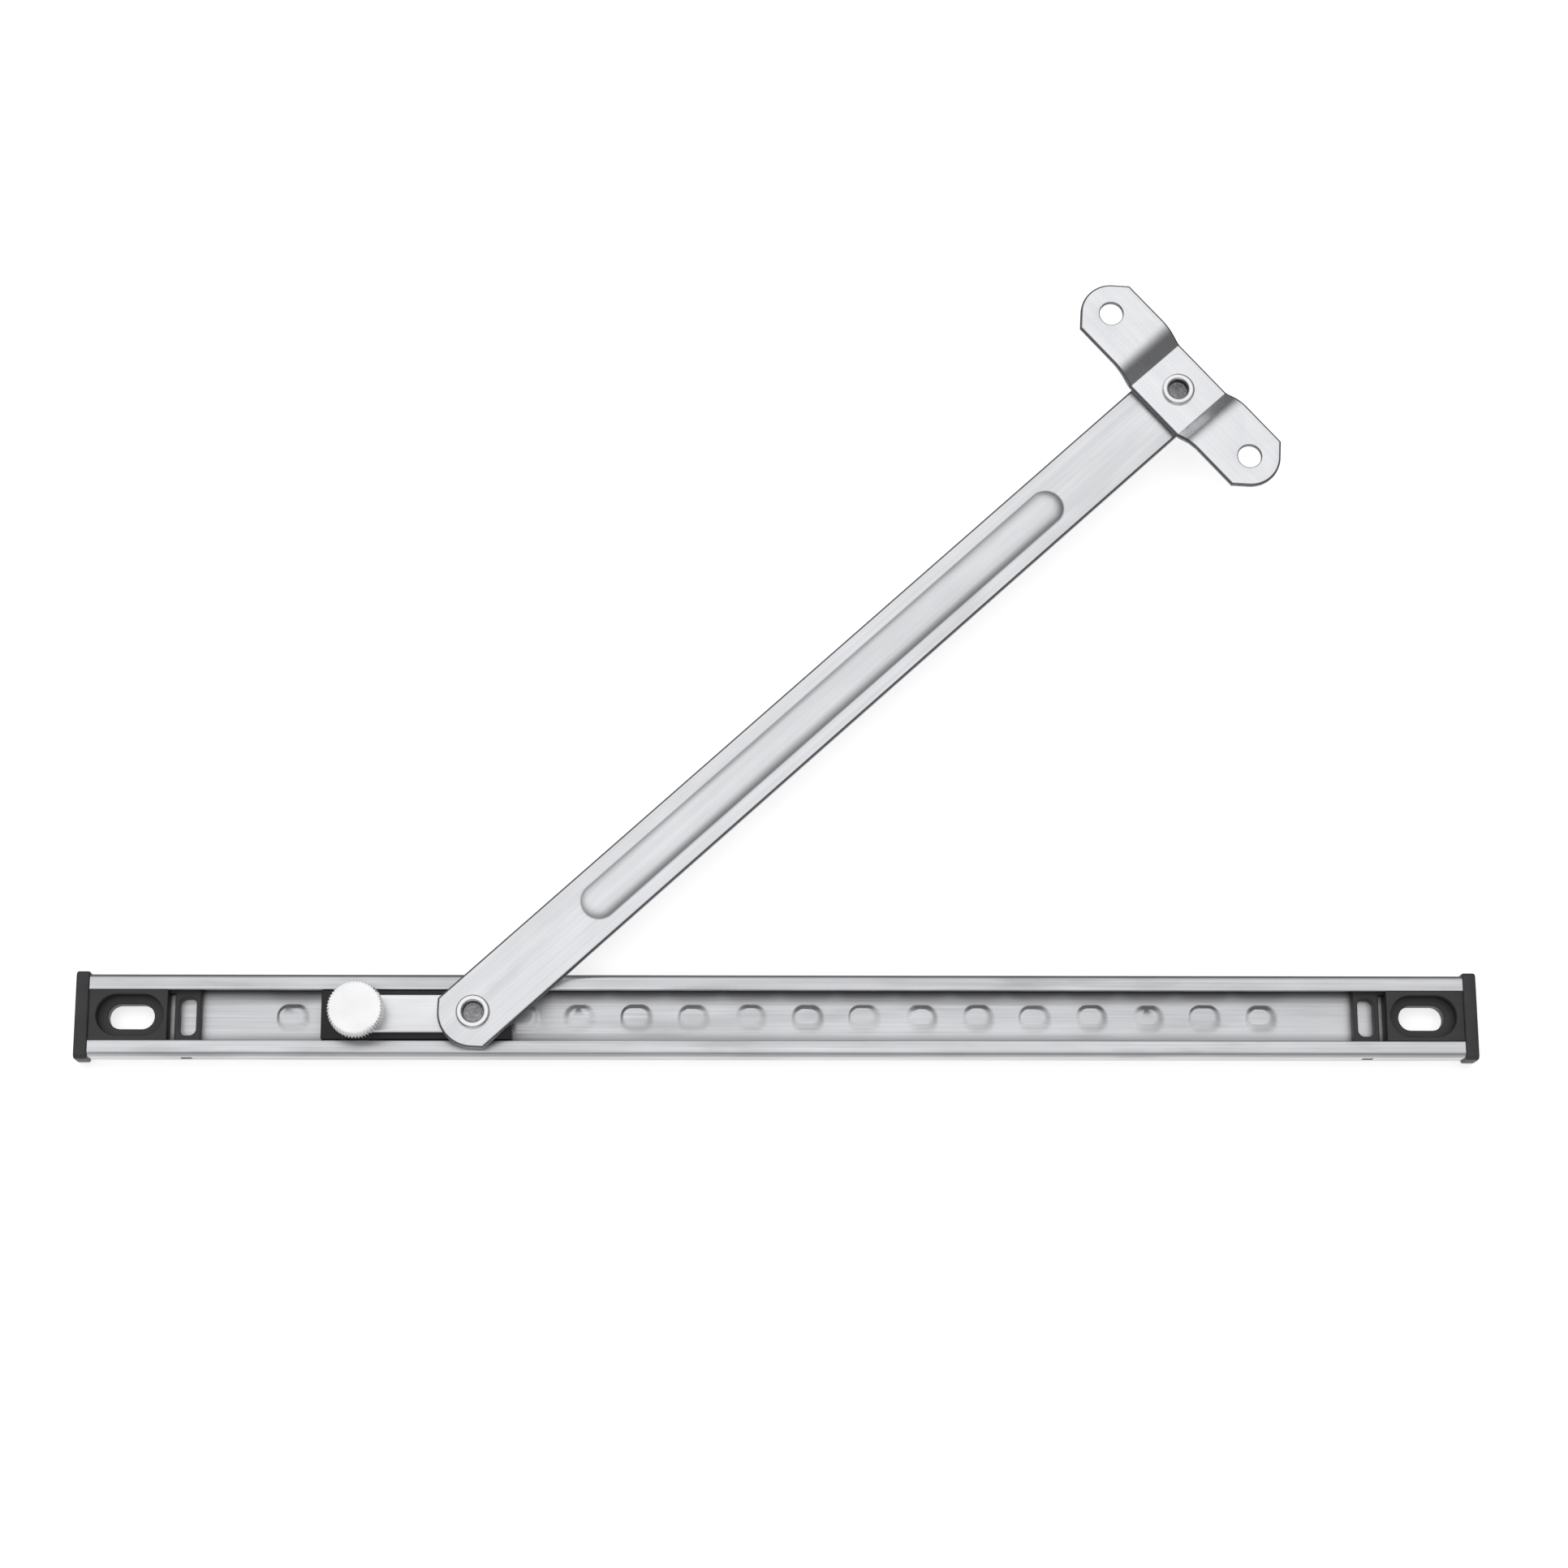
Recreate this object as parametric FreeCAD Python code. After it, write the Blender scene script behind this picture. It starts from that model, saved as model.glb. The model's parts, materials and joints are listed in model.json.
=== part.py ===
"""Friction stay hinge: a sliding arm that holds a window sash open.

Millimetres. X runs along the rail, Y across it, Z away from the surface that the rail is
screwed to. The origin is the middle of the rail's back. The arm stands at its half-open rest.
"""
import FreeCAD, Part
import math
import os

# ---- rail: roll-formed steel channel with turned-in lips ----
RAIL_LENGTH = 304.8
RAIL_WIDTH = 18.4
RAIL_HEIGHT = 6.5
RAIL_SHEET = 1.0
RAIL_BEND_RADIUS = 1.3
LIP_WIDTH = 3.6

# ---- pressed dimples that the slider clicks over ----
DIMPLE_PITCH = 12.7
DIMPLE_END_DISTANCE = 44.4
DIMPLE_LENGTH = 6.8
DIMPLE_WIDTH = 5.8
DIMPLE_HEIGHT = 0.8
DIMPLE_CORNER_RADIUS = 2.4

# ---- end caps: moulded plugs that carry the fixing slots ----
CAP_FLANGE_THICKNESS = 3.0
CAP_FLANGE_PROUD = 0.6
CAP_FLANGE_RISE = 0.3
CAP_FLANGE_CORNER = 1.1
CAP_SLOT_CENTRE = 9.0
CAP_RECESS_WALL = 0.9
CAP_RECESS_DEPTH = 2.8
CAP_RECESS_STRETCH = 0.9
CAP_RELIEF_GAP = 1.3
CAP_TONGUE_BAR = 0.95
CAP_WINDOW_LENGTH = 3.8
CAP_WINDOW_WALL = 1.3
CAP_TONGUE_DROP = 1.2
CAP_FIT_GAP = 0.05
CAP_FOOT_CORNER = 0.4

SLOT_LENGTH = 10.2
SLOT_WIDTH = 5.6
RAIL_SLOT_MARGIN = 0.1

SNAP_HOLE_LENGTH = 2.4
SNAP_HOLE_HEIGHT = 2.0
SNAP_HOLE_BASE = 2.4
SNAP_BARB_MARGIN = 0.15
SNAP_BARB_REACH = 0.7

# ---- slider ----
SLIDER_LENGTH = 42.0
SLIDER_END_TO_PIVOT = 8.3
KNOB_TO_PIVOT = 25.4
SLIDER_RUN_GAP = 0.15
SLIDER_GROOVE_GAP = 0.6
SLIDER_RISE = 0.3
REST_PIVOT_X = -67.6

# ---- strap, washers and rivets ----
STRAP_WIDTH = 8.5
STRAP_THICKNESS = 1.5
WASHER_THICKNESS = 0.5
WASHER_RIM = 3.6
RIVET_SHANK_DIAMETER = 5.8
RIVET_WALL = 0.6
RIVET_RING_OVERHANG = 0.85
RIVET_RING_HEIGHT = 0.9
RIVET_BORE_DEPTH = 2.2
RIVET_HEAD_OVERHANG = 1.6
RIVET_HEAD_THICKNESS = 1.2
TURN_GAP = 0.05

# ---- lock knob, stud and clamp nut ----
KNOB_DIAMETER = 12.4
KNOB_HEIGHT = 4.8
KNOB_EDGE_RADIUS = 0.6
KNOB_NECK_WALL = 1.0
KNOB_ARM_GAP = 0.5
STUD_DIAMETER = 5.0
STUD_FLOOR_GAP = 0.4
NUT_LENGTH = 9.0
NUT_THICKNESS = 1.8
NUT_LIP_GAP = 0.1
NUT_POCKET_GAP = 0.2

# ---- spring that clicks over the dimples ----
SPRING_LENGTH = 10.0
SPRING_WIDTH = 4.0
SPRING_SHEET = 0.3
SPRING_DIMPLE_GAP = 0.15

# ---- stay arm ----
ARM_PIVOT_DISTANCE = 215.9
ARM_WIDTH = 15.0
ARM_THICKNESS = 2.0
ARM_END_RADIUS = 7.9
ARM_REST_ANGLE = 42.25
BEAD_WIDTH = 8.5
BEAD_HEIGHT = 1.0
BEAD_START = 32.8
BEAD_END_MARGIN = 37.8

# ---- sash bracket: plate with two raised ears ----
BRACKET_WIDTH = 15.7
BRACKET_THICKNESS = 1.5
BRACKET_SEAT_LENGTH = 16.8
BRACKET_RAMP_LENGTH = 4.0
BRACKET_EAR_RISE = 3.5
BRACKET_HOLE_SPACING = 46.3
BRACKET_HOLE_DIAMETER = 5.4
BRACKET_END_RADIUS = 7.1
BRACKET_BEND_RADIUS = 0.8
BRACKET_REST_ANGLE = 89.5

# ---- heights and places that follow from the sizes above ----
RIVET_HEAD_DIAMETER = RIVET_SHANK_DIAMETER + 2 * RIVET_HEAD_OVERHANG
CHANNEL_HALF_WIDTH = RAIL_WIDTH / 2 - RAIL_SHEET
CHANNEL_TOP = RAIL_HEIGHT - RAIL_SHEET
OPENING_HALF_WIDTH = RAIL_WIDTH / 2 - LIP_WIDTH
DIMPLE_TOP = RAIL_SHEET + DIMPLE_HEIGHT
SLIDER_TOP = RAIL_HEIGHT + SLIDER_RISE
STRAP_TOP = SLIDER_TOP + STRAP_THICKNESS
ARM_BOTTOM = STRAP_TOP + WASHER_THICKNESS
ARM_TOP = ARM_BOTTOM + ARM_THICKNESS
BRACKET_BOTTOM = ARM_TOP + WASHER_THICKNESS
BRACKET_TOP = BRACKET_BOTTOM + BRACKET_THICKNESS
KNOB_X = REST_PIVOT_X - KNOB_TO_PIVOT
SLIDER_RIGHT = REST_PIVOT_X + SLIDER_END_TO_PIVOT
SLIDER_LEFT = SLIDER_RIGHT - SLIDER_LENGTH
CAP_BODY_HALF_WIDTH = OPENING_HALF_WIDTH - CAP_FIT_GAP
CAP_RECESS_WIDTH = 2 * (CAP_BODY_HALF_WIDTH - CAP_RECESS_WALL)
CAP_RECESS_LENGTH = SLOT_LENGTH - SLOT_WIDTH + CAP_RECESS_WIDTH + CAP_RECESS_STRETCH
CAP_BODY_LENGTH = CAP_SLOT_CENTRE + CAP_RECESS_LENGTH / 2 + CAP_RECESS_WALL
SNAP_HOLE_CENTRE = CAP_BODY_LENGTH + CAP_RELIEF_GAP + CAP_TONGUE_BAR + CAP_WINDOW_LENGTH / 2

UP = FreeCAD.Vector(0, 0, 1)


def box(x0, x1, y0, y1, z0, z1):
    """A block between two corners."""
    return Part.makeBox(x1 - x0, y1 - y0, z1 - z0, FreeCAD.Vector(x0, y0, z0))


def disc(diameter, z0, z1, x=0.0, y=0.0):
    """An upright cylinder."""
    return Part.makeCylinder(diameter / 2, z1 - z0, FreeCAD.Vector(x, y, z0), UP)


def stadium(length, width, z0, z1, x=0.0):
    """An upright slot shape, long along X, with round ends."""
    reach = (length - width) / 2
    bar = box(x - reach, x + reach, -width / 2, width / 2, z0, z1)
    ends = [disc(width, z0, z1, x - reach), disc(width, z0, z1, x + reach)]
    return bar.fuse(ends).removeSplitter()


def edges_along(shape, axis):
    """The straight edges that run along an axis."""
    found = []
    for edge in shape.Edges:
        ends = [vertex.Point for vertex in edge.Vertexes]
        if len(ends) == 2 and abs((ends[1] - ends[0]).normalize().dot(axis)) > 0.999:
            found.append(edge)
    return found


def rounded_prism(shape, axis, radius):
    """Rounds every edge of a block that runs along an axis."""
    return shape.makeFillet(radius, edges_along(shape, axis))


def mirrored(shape):
    """The same shape at the rail's other end."""
    return shape.mirror(FreeCAD.Vector(0, 0, 0), FreeCAD.Vector(1, 0, 0))


def pillow(x, length, width, corner, z0, z1, top_radius):
    """A low pad with round corners and a soft top edge."""
    pad = box(x - length / 2, x + length / 2, -width / 2, width / 2, z0, z1)
    pad = rounded_prism(pad, UP, corner)
    top = [edge for edge in pad.Edges if min(v.Z for v in edge.Vertexes) > z1 - 0.001]
    return pad.makeFillet(top_radius, top)


def dimple_centres():
    """Dimples fill the rail's middle at an even pitch."""
    count = 1 + int((RAIL_LENGTH - 2 * DIMPLE_END_DISTANCE) / DIMPLE_PITCH)
    first = -(count - 1) * DIMPLE_PITCH / 2
    return [first + i * DIMPLE_PITCH for i in range(count)]


def channel_rail():
    """Channel with a slotted floor, raised dimples and holes for the caps' barbs."""
    half = RAIL_LENGTH / 2
    along = FreeCAD.Vector(1, 0, 0)
    outer = box(-half, half, -RAIL_WIDTH / 2, RAIL_WIDTH / 2, 0, RAIL_HEIGHT)
    outer = rounded_prism(outer, along, RAIL_BEND_RADIUS)
    inner = box(-half, half, -CHANNEL_HALF_WIDTH, CHANNEL_HALF_WIDTH, RAIL_SHEET, CHANNEL_TOP)
    inner = rounded_prism(inner, along, RAIL_BEND_RADIUS - RAIL_SHEET)
    mouth = box(-half, half, -OPENING_HALF_WIDTH, OPENING_HALF_WIDTH, RAIL_SHEET * 2, RAIL_HEIGHT)
    rail = outer.cut(inner).cut(mouth)

    wall = RAIL_SHEET
    bumps = []
    dents = []
    for x in dimple_centres():
        bumps.append(pillow(x, DIMPLE_LENGTH, DIMPLE_WIDTH, DIMPLE_CORNER_RADIUS,
                            0, DIMPLE_TOP, DIMPLE_HEIGHT * 0.95))
        dents.append(pillow(x, DIMPLE_LENGTH - wall, DIMPLE_WIDTH - wall,
                            DIMPLE_CORNER_RADIUS - wall / 2, 0, DIMPLE_HEIGHT, DIMPLE_HEIGHT * 0.8))
    rail = rail.fuse(bumps).cut(dents)

    slot_x = half - CAP_SLOT_CENTRE
    margin = 2 * RAIL_SLOT_MARGIN
    barb_x = half - SNAP_HOLE_CENTRE
    holes = []
    for side in (-1, 1):
        holes.append(stadium(SLOT_LENGTH + margin, SLOT_WIDTH + margin, 0, RAIL_SHEET, side * slot_x))
        holes.append(box(side * barb_x - SNAP_HOLE_LENGTH / 2, side * barb_x + SNAP_HOLE_LENGTH / 2,
                         -RAIL_WIDTH / 2, RAIL_WIDTH / 2,
                         SNAP_HOLE_BASE, SNAP_HOLE_BASE + SNAP_HOLE_HEIGHT))
    return rail.cut(holes).removeSplitter()


def end_cap():
    """Right-hand cap: flange, slotted body, and a windowed tongue with two snap barbs."""
    end = RAIL_LENGTH / 2
    along = FreeCAD.Vector(1, 0, 0)
    flange_half = RAIL_WIDTH / 2 + CAP_FLANGE_PROUD
    flange = box(end, end + CAP_FLANGE_THICKNESS, -flange_half, flange_half,
                 0, RAIL_HEIGHT + CAP_FLANGE_RISE)
    flange = rounded_prism(flange, along, CAP_FLANGE_CORNER)

    body_end = end - CAP_BODY_LENGTH
    tongue_start = body_end - CAP_RELIEF_GAP
    tongue_end = tongue_start - 2 * CAP_TONGUE_BAR - CAP_WINDOW_LENGTH
    wide = CHANNEL_HALF_WIDTH - CAP_FIT_GAP
    narrow = CAP_BODY_HALF_WIDTH
    foot_top = CHANNEL_TOP - CAP_FIT_GAP
    tongue_top = foot_top - CAP_TONGUE_DROP

    foot = box(body_end, end, -wide, wide, RAIL_SHEET, foot_top)
    foot = rounded_prism(foot, along, CAP_FOOT_CORNER)
    tongue = box(tongue_end, body_end, -wide, wide, RAIL_SHEET, tongue_top)
    tongue = rounded_prism(tongue, along, CAP_FOOT_CORNER)
    body = box(body_end, end, -narrow, narrow, RAIL_SHEET, RAIL_HEIGHT)

    slot_x = end - CAP_SLOT_CENTRE
    recess_floor = RAIL_HEIGHT - CAP_RECESS_DEPTH
    recess = stadium(CAP_RECESS_LENGTH, CAP_RECESS_WIDTH, recess_floor, RAIL_HEIGHT, slot_x)
    slot = stadium(SLOT_LENGTH, SLOT_WIDTH, RAIL_SHEET, RAIL_HEIGHT, slot_x)
    relief = box(tongue_start, body_end, -narrow, narrow, RAIL_SHEET, RAIL_HEIGHT)

    window_x = end - SNAP_HOLE_CENTRE
    window_half = narrow - CAP_WINDOW_WALL
    window = box(window_x - CAP_WINDOW_LENGTH / 2, window_x + CAP_WINDOW_LENGTH / 2,
                 -window_half, window_half, RAIL_SHEET, RAIL_HEIGHT)
    window = rounded_prism(window, UP, CAP_WINDOW_LENGTH * 0.45)

    barb_half = SNAP_HOLE_LENGTH / 2 - SNAP_BARB_MARGIN
    barb_reach = CHANNEL_HALF_WIDTH + SNAP_BARB_REACH
    barb_top = min(SNAP_HOLE_BASE + SNAP_HOLE_HEIGHT - SNAP_BARB_MARGIN, tongue_top)
    barbs = box(window_x - barb_half, window_x + barb_half, -barb_reach, barb_reach,
                SNAP_HOLE_BASE + SNAP_BARB_MARGIN, barb_top)
    cap = flange.fuse([foot, tongue, body, barbs])
    return cap.cut([recess, slot, relief, window]).removeSplitter()


def slider_block():
    """Moulded slide: wide feet under the lips and a raised middle between them."""
    feet_half = CHANNEL_HALF_WIDTH - SLIDER_RUN_GAP
    rib_half = OPENING_HALF_WIDTH - SLIDER_RUN_GAP
    feet = box(SLIDER_LEFT, SLIDER_RIGHT, -feet_half, feet_half,
               RAIL_SHEET + SLIDER_RUN_GAP, CHANNEL_TOP - SLIDER_RUN_GAP)
    rib = box(SLIDER_LEFT, SLIDER_RIGHT, -rib_half, rib_half, DIMPLE_TOP, SLIDER_TOP)
    groove_half = DIMPLE_WIDTH / 2 + SLIDER_GROOVE_GAP
    groove_top = DIMPLE_TOP + SLIDER_GROOVE_GAP
    groove = box(SLIDER_LEFT, SLIDER_RIGHT, -groove_half, groove_half, 0, groove_top)

    nut_reach = NUT_LENGTH / 2 + NUT_POCKET_GAP
    nut_pocket = box(KNOB_X - nut_reach, KNOB_X + nut_reach, -feet_half, feet_half, 0, nut_top())
    stud_hole = disc(STUD_DIAMETER + 2 * TURN_GAP, 0, SLIDER_TOP, KNOB_X)
    rivet_hole = disc(RIVET_SHANK_DIAMETER, 0, SLIDER_TOP, REST_PIVOT_X)
    head_pocket = disc(RIVET_HEAD_DIAMETER + 2 * NUT_POCKET_GAP, 0, rivet_seat(), REST_PIVOT_X)
    block = feet.fuse(rib).cut([groove, nut_pocket, stud_hole, rivet_hole, head_pocket])
    return block.removeSplitter()


def nut_top():
    """Underside of the block's web, where the clamp nut meets it."""
    return CHANNEL_TOP - NUT_LIP_GAP


def rivet_seat():
    """Height of the shoulder that the slider rivet's lower head bears on."""
    return DIMPLE_TOP + SLIDER_GROOVE_GAP + RIVET_HEAD_THICKNESS


def slider_strap():
    """Steel strap along the top of the slider, from the lock stud to the arm's pivot."""
    middle = (KNOB_X + REST_PIVOT_X) / 2
    strap = stadium(KNOB_TO_PIVOT + STRAP_WIDTH, STRAP_WIDTH, SLIDER_TOP, STRAP_TOP, middle)
    stud_hole = disc(STUD_DIAMETER + 2 * TURN_GAP, SLIDER_TOP, STRAP_TOP, KNOB_X)
    rivet_hole = disc(RIVET_SHANK_DIAMETER, SLIDER_TOP, STRAP_TOP, REST_PIVOT_X)
    return strap.cut([stud_hole, rivet_hole])


def detent_spring():
    """Bowed leaf under the block, midway between stud and rivet, that rides the dimples."""
    middle = (KNOB_X + REST_PIVOT_X) / 2
    top = DIMPLE_TOP + SLIDER_GROOVE_GAP
    low = DIMPLE_TOP + SPRING_DIMPLE_GAP
    half = SPRING_LENGTH / 2

    def bow(z_end, z_middle):
        """One face of the leaf, as an arc from end to end."""
        points = [FreeCAD.Vector(middle - half, 0, z_end), FreeCAD.Vector(middle, 0, z_middle),
                  FreeCAD.Vector(middle + half, 0, z_end)]
        return Part.Arc(*points).toShape()

    upper = bow(top, low + SPRING_SHEET)
    lower = bow(top - SPRING_SHEET, low)
    ends = [Part.makeLine(upper.Vertexes[i].Point, lower.Vertexes[i].Point) for i in (0, 1)]
    face = Part.Face(Part.Wire(Part.__sortEdges__([upper, lower] + ends)))
    face.translate(FreeCAD.Vector(0, -SPRING_WIDTH / 2, 0))
    return face.extrude(FreeCAD.Vector(0, SPRING_WIDTH, 0))


def rivet(bottom, top, x):
    """Semi-tubular rivet: flat head below, shank, and a rolled ring round a blind bore above."""
    head = disc(RIVET_HEAD_DIAMETER, bottom, bottom + RIVET_HEAD_THICKNESS, x)
    shank = disc(RIVET_SHANK_DIAMETER, bottom, top, x)
    ring_top = top + RIVET_RING_HEIGHT
    ring = disc(RIVET_SHANK_DIAMETER + 2 * RIVET_RING_OVERHANG, top, ring_top, x)
    rim = [edge for edge in ring.Edges if len(edge.Vertexes) == 1 and edge.Vertexes[0].Z > top]
    ring = ring.makeFillet(RIVET_RING_HEIGHT * 0.45, rim)
    bore = disc(RIVET_SHANK_DIAMETER - 2 * RIVET_WALL, ring_top - RIVET_BORE_DEPTH, ring_top, x)
    return head.fuse([shank, ring]).cut(bore).removeSplitter()


def washer(bore, z0, x):
    """Thin friction washer round a rivet."""
    z1 = z0 + WASHER_THICKNESS
    plate = disc(RIVET_SHANK_DIAMETER + 2 * WASHER_RIM, z0, z1, x)
    return plate.cut(disc(bore, z0, z1, x))


def lock_knob():
    """Round clamp knob on a narrower neck, with a blind socket for the stud."""
    head_bottom = ARM_TOP + KNOB_ARM_GAP
    top = head_bottom + KNOB_HEIGHT
    head = disc(KNOB_DIAMETER, head_bottom, top, KNOB_X)
    head = head.makeFillet(KNOB_EDGE_RADIUS, [edge for edge in head.Edges if len(edge.Vertexes) == 1])
    neck = disc(STUD_DIAMETER + 2 * KNOB_NECK_WALL, STRAP_TOP, head_bottom + KNOB_EDGE_RADIUS, KNOB_X)
    socket = disc(STUD_DIAMETER, STRAP_TOP, head_bottom + KNOB_HEIGHT / 2, KNOB_X)
    return head.fuse(neck).cut(socket).removeSplitter()


def lock_stud():
    """Threaded stud from the knob down through strap, block and clamp nut."""
    bottom = DIMPLE_TOP + STUD_FLOOR_GAP
    return disc(STUD_DIAMETER, bottom, ARM_TOP + KNOB_ARM_GAP + KNOB_HEIGHT / 2, KNOB_X)


def clamp_nut():
    """Flat nut that the stud draws up under both lips."""
    half_width = CHANNEL_HALF_WIDTH - SLIDER_RUN_GAP
    top = nut_top()
    nut = box(KNOB_X - NUT_LENGTH / 2, KNOB_X + NUT_LENGTH / 2, -half_width, half_width,
              top - NUT_THICKNESS, top)
    return nut.cut(disc(STUD_DIAMETER + 2 * TURN_GAP, 0, RAIL_HEIGHT, KNOB_X))


def clipped_strip(length, width, end_radius):
    """Outline of a strip about the origin: straight sides, 45 degree shoulders, round nose."""
    half = width / 2
    nose = length / 2 + end_radius
    shoulder = length / 2 + end_radius * math.sqrt(2) - half
    tangent = end_radius / math.sqrt(2)

    def point(x, y):
        """A point of the outline."""
        return FreeCAD.Vector(x, y, 0)

    edges = []
    for side in (1, -1):
        corner = point(side * shoulder, -side * half)
        start = point(side * (length / 2 + tangent), -side * tangent)
        end = point(side * (length / 2 + tangent), side * tangent)
        far = point(side * shoulder, side * half)
        if (corner - start).Length > 0.001:
            edges.append(Part.makeLine(corner, start))
            edges.append(Part.makeLine(end, far))
        edges.append(Part.Arc(start, point(side * nose, 0), end).toShape())
        edges.append(Part.makeLine(far, point(-side * shoulder, side * half)))
    return Part.Face(Part.Wire(Part.__sortEdges__(edges)))


def bead(width, height, length):
    """A long low arch along X with round ends, standing on Z = 0."""
    radius = (width * width / 4 + height * height) / (2 * height)
    reach = (length - width) / 2
    centre = FreeCAD.Vector(-reach, 0, height - radius)
    rod = Part.makeCylinder(radius, 2 * reach, centre, FreeCAD.Vector(1, 0, 0))
    balls = [Part.makeSphere(radius, FreeCAD.Vector(side * reach, 0, height - radius)) for side in (-1, 1)]
    keep = box(-length, length, -width, width, 0, height + 1)
    return rod.fuse(balls).common(keep).removeSplitter()


def stay_arm():
    """Flat arm with a pressed stiffening bead, along X with its slider pivot at the origin."""
    strip = clipped_strip(ARM_PIVOT_DISTANCE, ARM_WIDTH, ARM_END_RADIUS)
    arm = strip.extrude(FreeCAD.Vector(0, 0, ARM_THICKNESS))
    arm.translate(FreeCAD.Vector(ARM_PIVOT_DISTANCE / 2, 0, ARM_BOTTOM))
    bead_end = ARM_PIVOT_DISTANCE - BEAD_END_MARGIN
    bead_length = bead_end - BEAD_START
    bead_middle = (bead_end + BEAD_START) / 2
    raised = bead(BEAD_WIDTH, BEAD_HEIGHT, bead_length)
    raised.translate(FreeCAD.Vector(bead_middle, 0, ARM_TOP))
    wall = ARM_THICKNESS / 2
    hollow = bead(BEAD_WIDTH - wall, BEAD_HEIGHT, bead_length - wall)
    hollow.translate(FreeCAD.Vector(bead_middle, 0, ARM_BOTTOM))
    arm = arm.fuse(raised).cut(hollow)
    hole = RIVET_SHANK_DIAMETER + 2 * TURN_GAP
    near_hole = disc(hole, ARM_BOTTOM, ARM_TOP)
    far_hole = disc(RIVET_SHANK_DIAMETER, ARM_BOTTOM, ARM_TOP, ARM_PIVOT_DISTANCE)
    return arm.cut([near_hole, far_hole]).removeSplitter()


def sash_bracket():
    """Plate seated on the arm's end with two raised ears, along X about the origin."""
    seat = BRACKET_SEAT_LENGTH / 2
    ear = seat + BRACKET_RAMP_LENGTH
    tip = BRACKET_HOLE_SPACING / 2 + BRACKET_END_RADIUS + 1
    rise = BRACKET_EAR_RISE
    thick = BRACKET_THICKNESS
    slope = math.atan2(rise, BRACKET_RAMP_LENGTH)
    shift = thick * math.tan(slope / 2)

    lower = [(-tip, rise), (-ear, rise), (-seat, 0), (seat, 0), (ear, rise), (tip, rise)]
    upper = [(tip, rise + thick), (ear - shift, rise + thick), (seat - shift, thick),
             (-seat + shift, thick), (-ear + shift, rise + thick), (-tip, rise + thick)]
    points = [FreeCAD.Vector(x, 0, z) for x, z in lower + upper]
    face = Part.Face(Part.makePolygon(points + points[:1]))
    face.translate(FreeCAD.Vector(0, -BRACKET_WIDTH / 2, 0))
    plate = face.extrude(FreeCAD.Vector(0, BRACKET_WIDTH, 0))

    def bends(xs, z):
        """The folded plate's bend lines at one height."""
        found = []
        for edge in edges_along(plate, FreeCAD.Vector(0, 1, 0)):
            at = edge.Vertexes[0].Point
            if abs(at.z - z) < 0.001 and min(abs(abs(at.x) - x) for x in xs) < 0.001:
                found.append(edge)
        return found

    inner = bends([ear], rise) + bends([seat - shift], thick)
    outer = bends([seat], 0) + bends([ear - shift], rise + thick)
    plate = plate.makeFillet(BRACKET_BEND_RADIUS, inner)
    outer = [edge for edge in edges_along(plate, FreeCAD.Vector(0, 1, 0))
             if any((edge.CenterOfMass - old.CenterOfMass).Length < 0.001 for old in outer)]
    plate = plate.makeFillet(BRACKET_BEND_RADIUS + thick, outer)

    outline = clipped_strip(BRACKET_HOLE_SPACING, BRACKET_WIDTH, BRACKET_END_RADIUS)
    plate = plate.common(outline.extrude(FreeCAD.Vector(0, 0, rise + 2 * thick)))
    for side in (-1, 1):
        plate = plate.cut(disc(BRACKET_HOLE_DIAMETER, 0, rise + 2 * thick, side * BRACKET_HOLE_SPACING / 2))
    plate = plate.cut(disc(RIVET_SHANK_DIAMETER + 2 * TURN_GAP, 0, thick))
    plate.translate(FreeCAD.Vector(0, 0, BRACKET_BOTTOM))
    return plate.removeSplitter()


def on_arm(shape):
    """Puts a piece that was made along the arm at the arm's rest place."""
    shape.rotate(FreeCAD.Vector(0, 0, 0), UP, ARM_REST_ANGLE)
    shape.translate(FreeCAD.Vector(REST_PIVOT_X, 0, 0))
    return shape


def on_bracket(shape):
    """Puts a piece that was made about the bracket's pivot at the bracket's rest place."""
    shape.rotate(FreeCAD.Vector(0, 0, 0), UP, BRACKET_REST_ANGLE)
    shape.translate(FreeCAD.Vector(ARM_PIVOT_DISTANCE, 0, 0))
    return on_arm(shape)


def main():
    """Builds every piece and writes one STEP file for each."""
    cap = end_cap()
    running_bore = RIVET_SHANK_DIAMETER + 2 * TURN_GAP
    far_head = ARM_BOTTOM - RIVET_HEAD_THICKNESS
    pieces = {
        "channel_rail": channel_rail(),
        "end_cap_right": cap,
        "end_cap_left": mirrored(cap),
        "slider_block": slider_block(),
        "slider_strap": slider_strap(),
        "detent_spring": detent_spring(),
        "pivot_rivet": rivet(rivet_seat() - RIVET_HEAD_THICKNESS, ARM_TOP, REST_PIVOT_X),
        "arm_pivot_washer": washer(RIVET_SHANK_DIAMETER, STRAP_TOP, REST_PIVOT_X),
        "lock_knob": lock_knob(),
        "lock_stud": lock_stud(),
        "clamp_nut": clamp_nut(),
        "stay_arm": on_arm(stay_arm()),
        "bracket_rivet": on_arm(rivet(far_head, BRACKET_TOP, ARM_PIVOT_DISTANCE)),
        "bracket_washer": on_arm(washer(running_bore, ARM_TOP, ARM_PIVOT_DISTANCE)),
        "sash_bracket": on_bracket(sash_bracket()),
    }
    os.makedirs("parts", exist_ok=True)
    for name, shape in pieces.items():
        if not shape.isValid() or len(shape.Solids) != 1:
            raise ValueError(name + " is not one sound solid")
        shape.Solids[0].exportStep("parts/" + name + ".step")


main()
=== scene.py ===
"""Visible pieces, finishes and studio of a friction stay hinge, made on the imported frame.

Metres. X runs along the rail, Y across it, and Z away from the surface that it is screwed to.
"""
import json
import math

import bmesh
import bpy
from mathutils import Matrix, Vector


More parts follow.
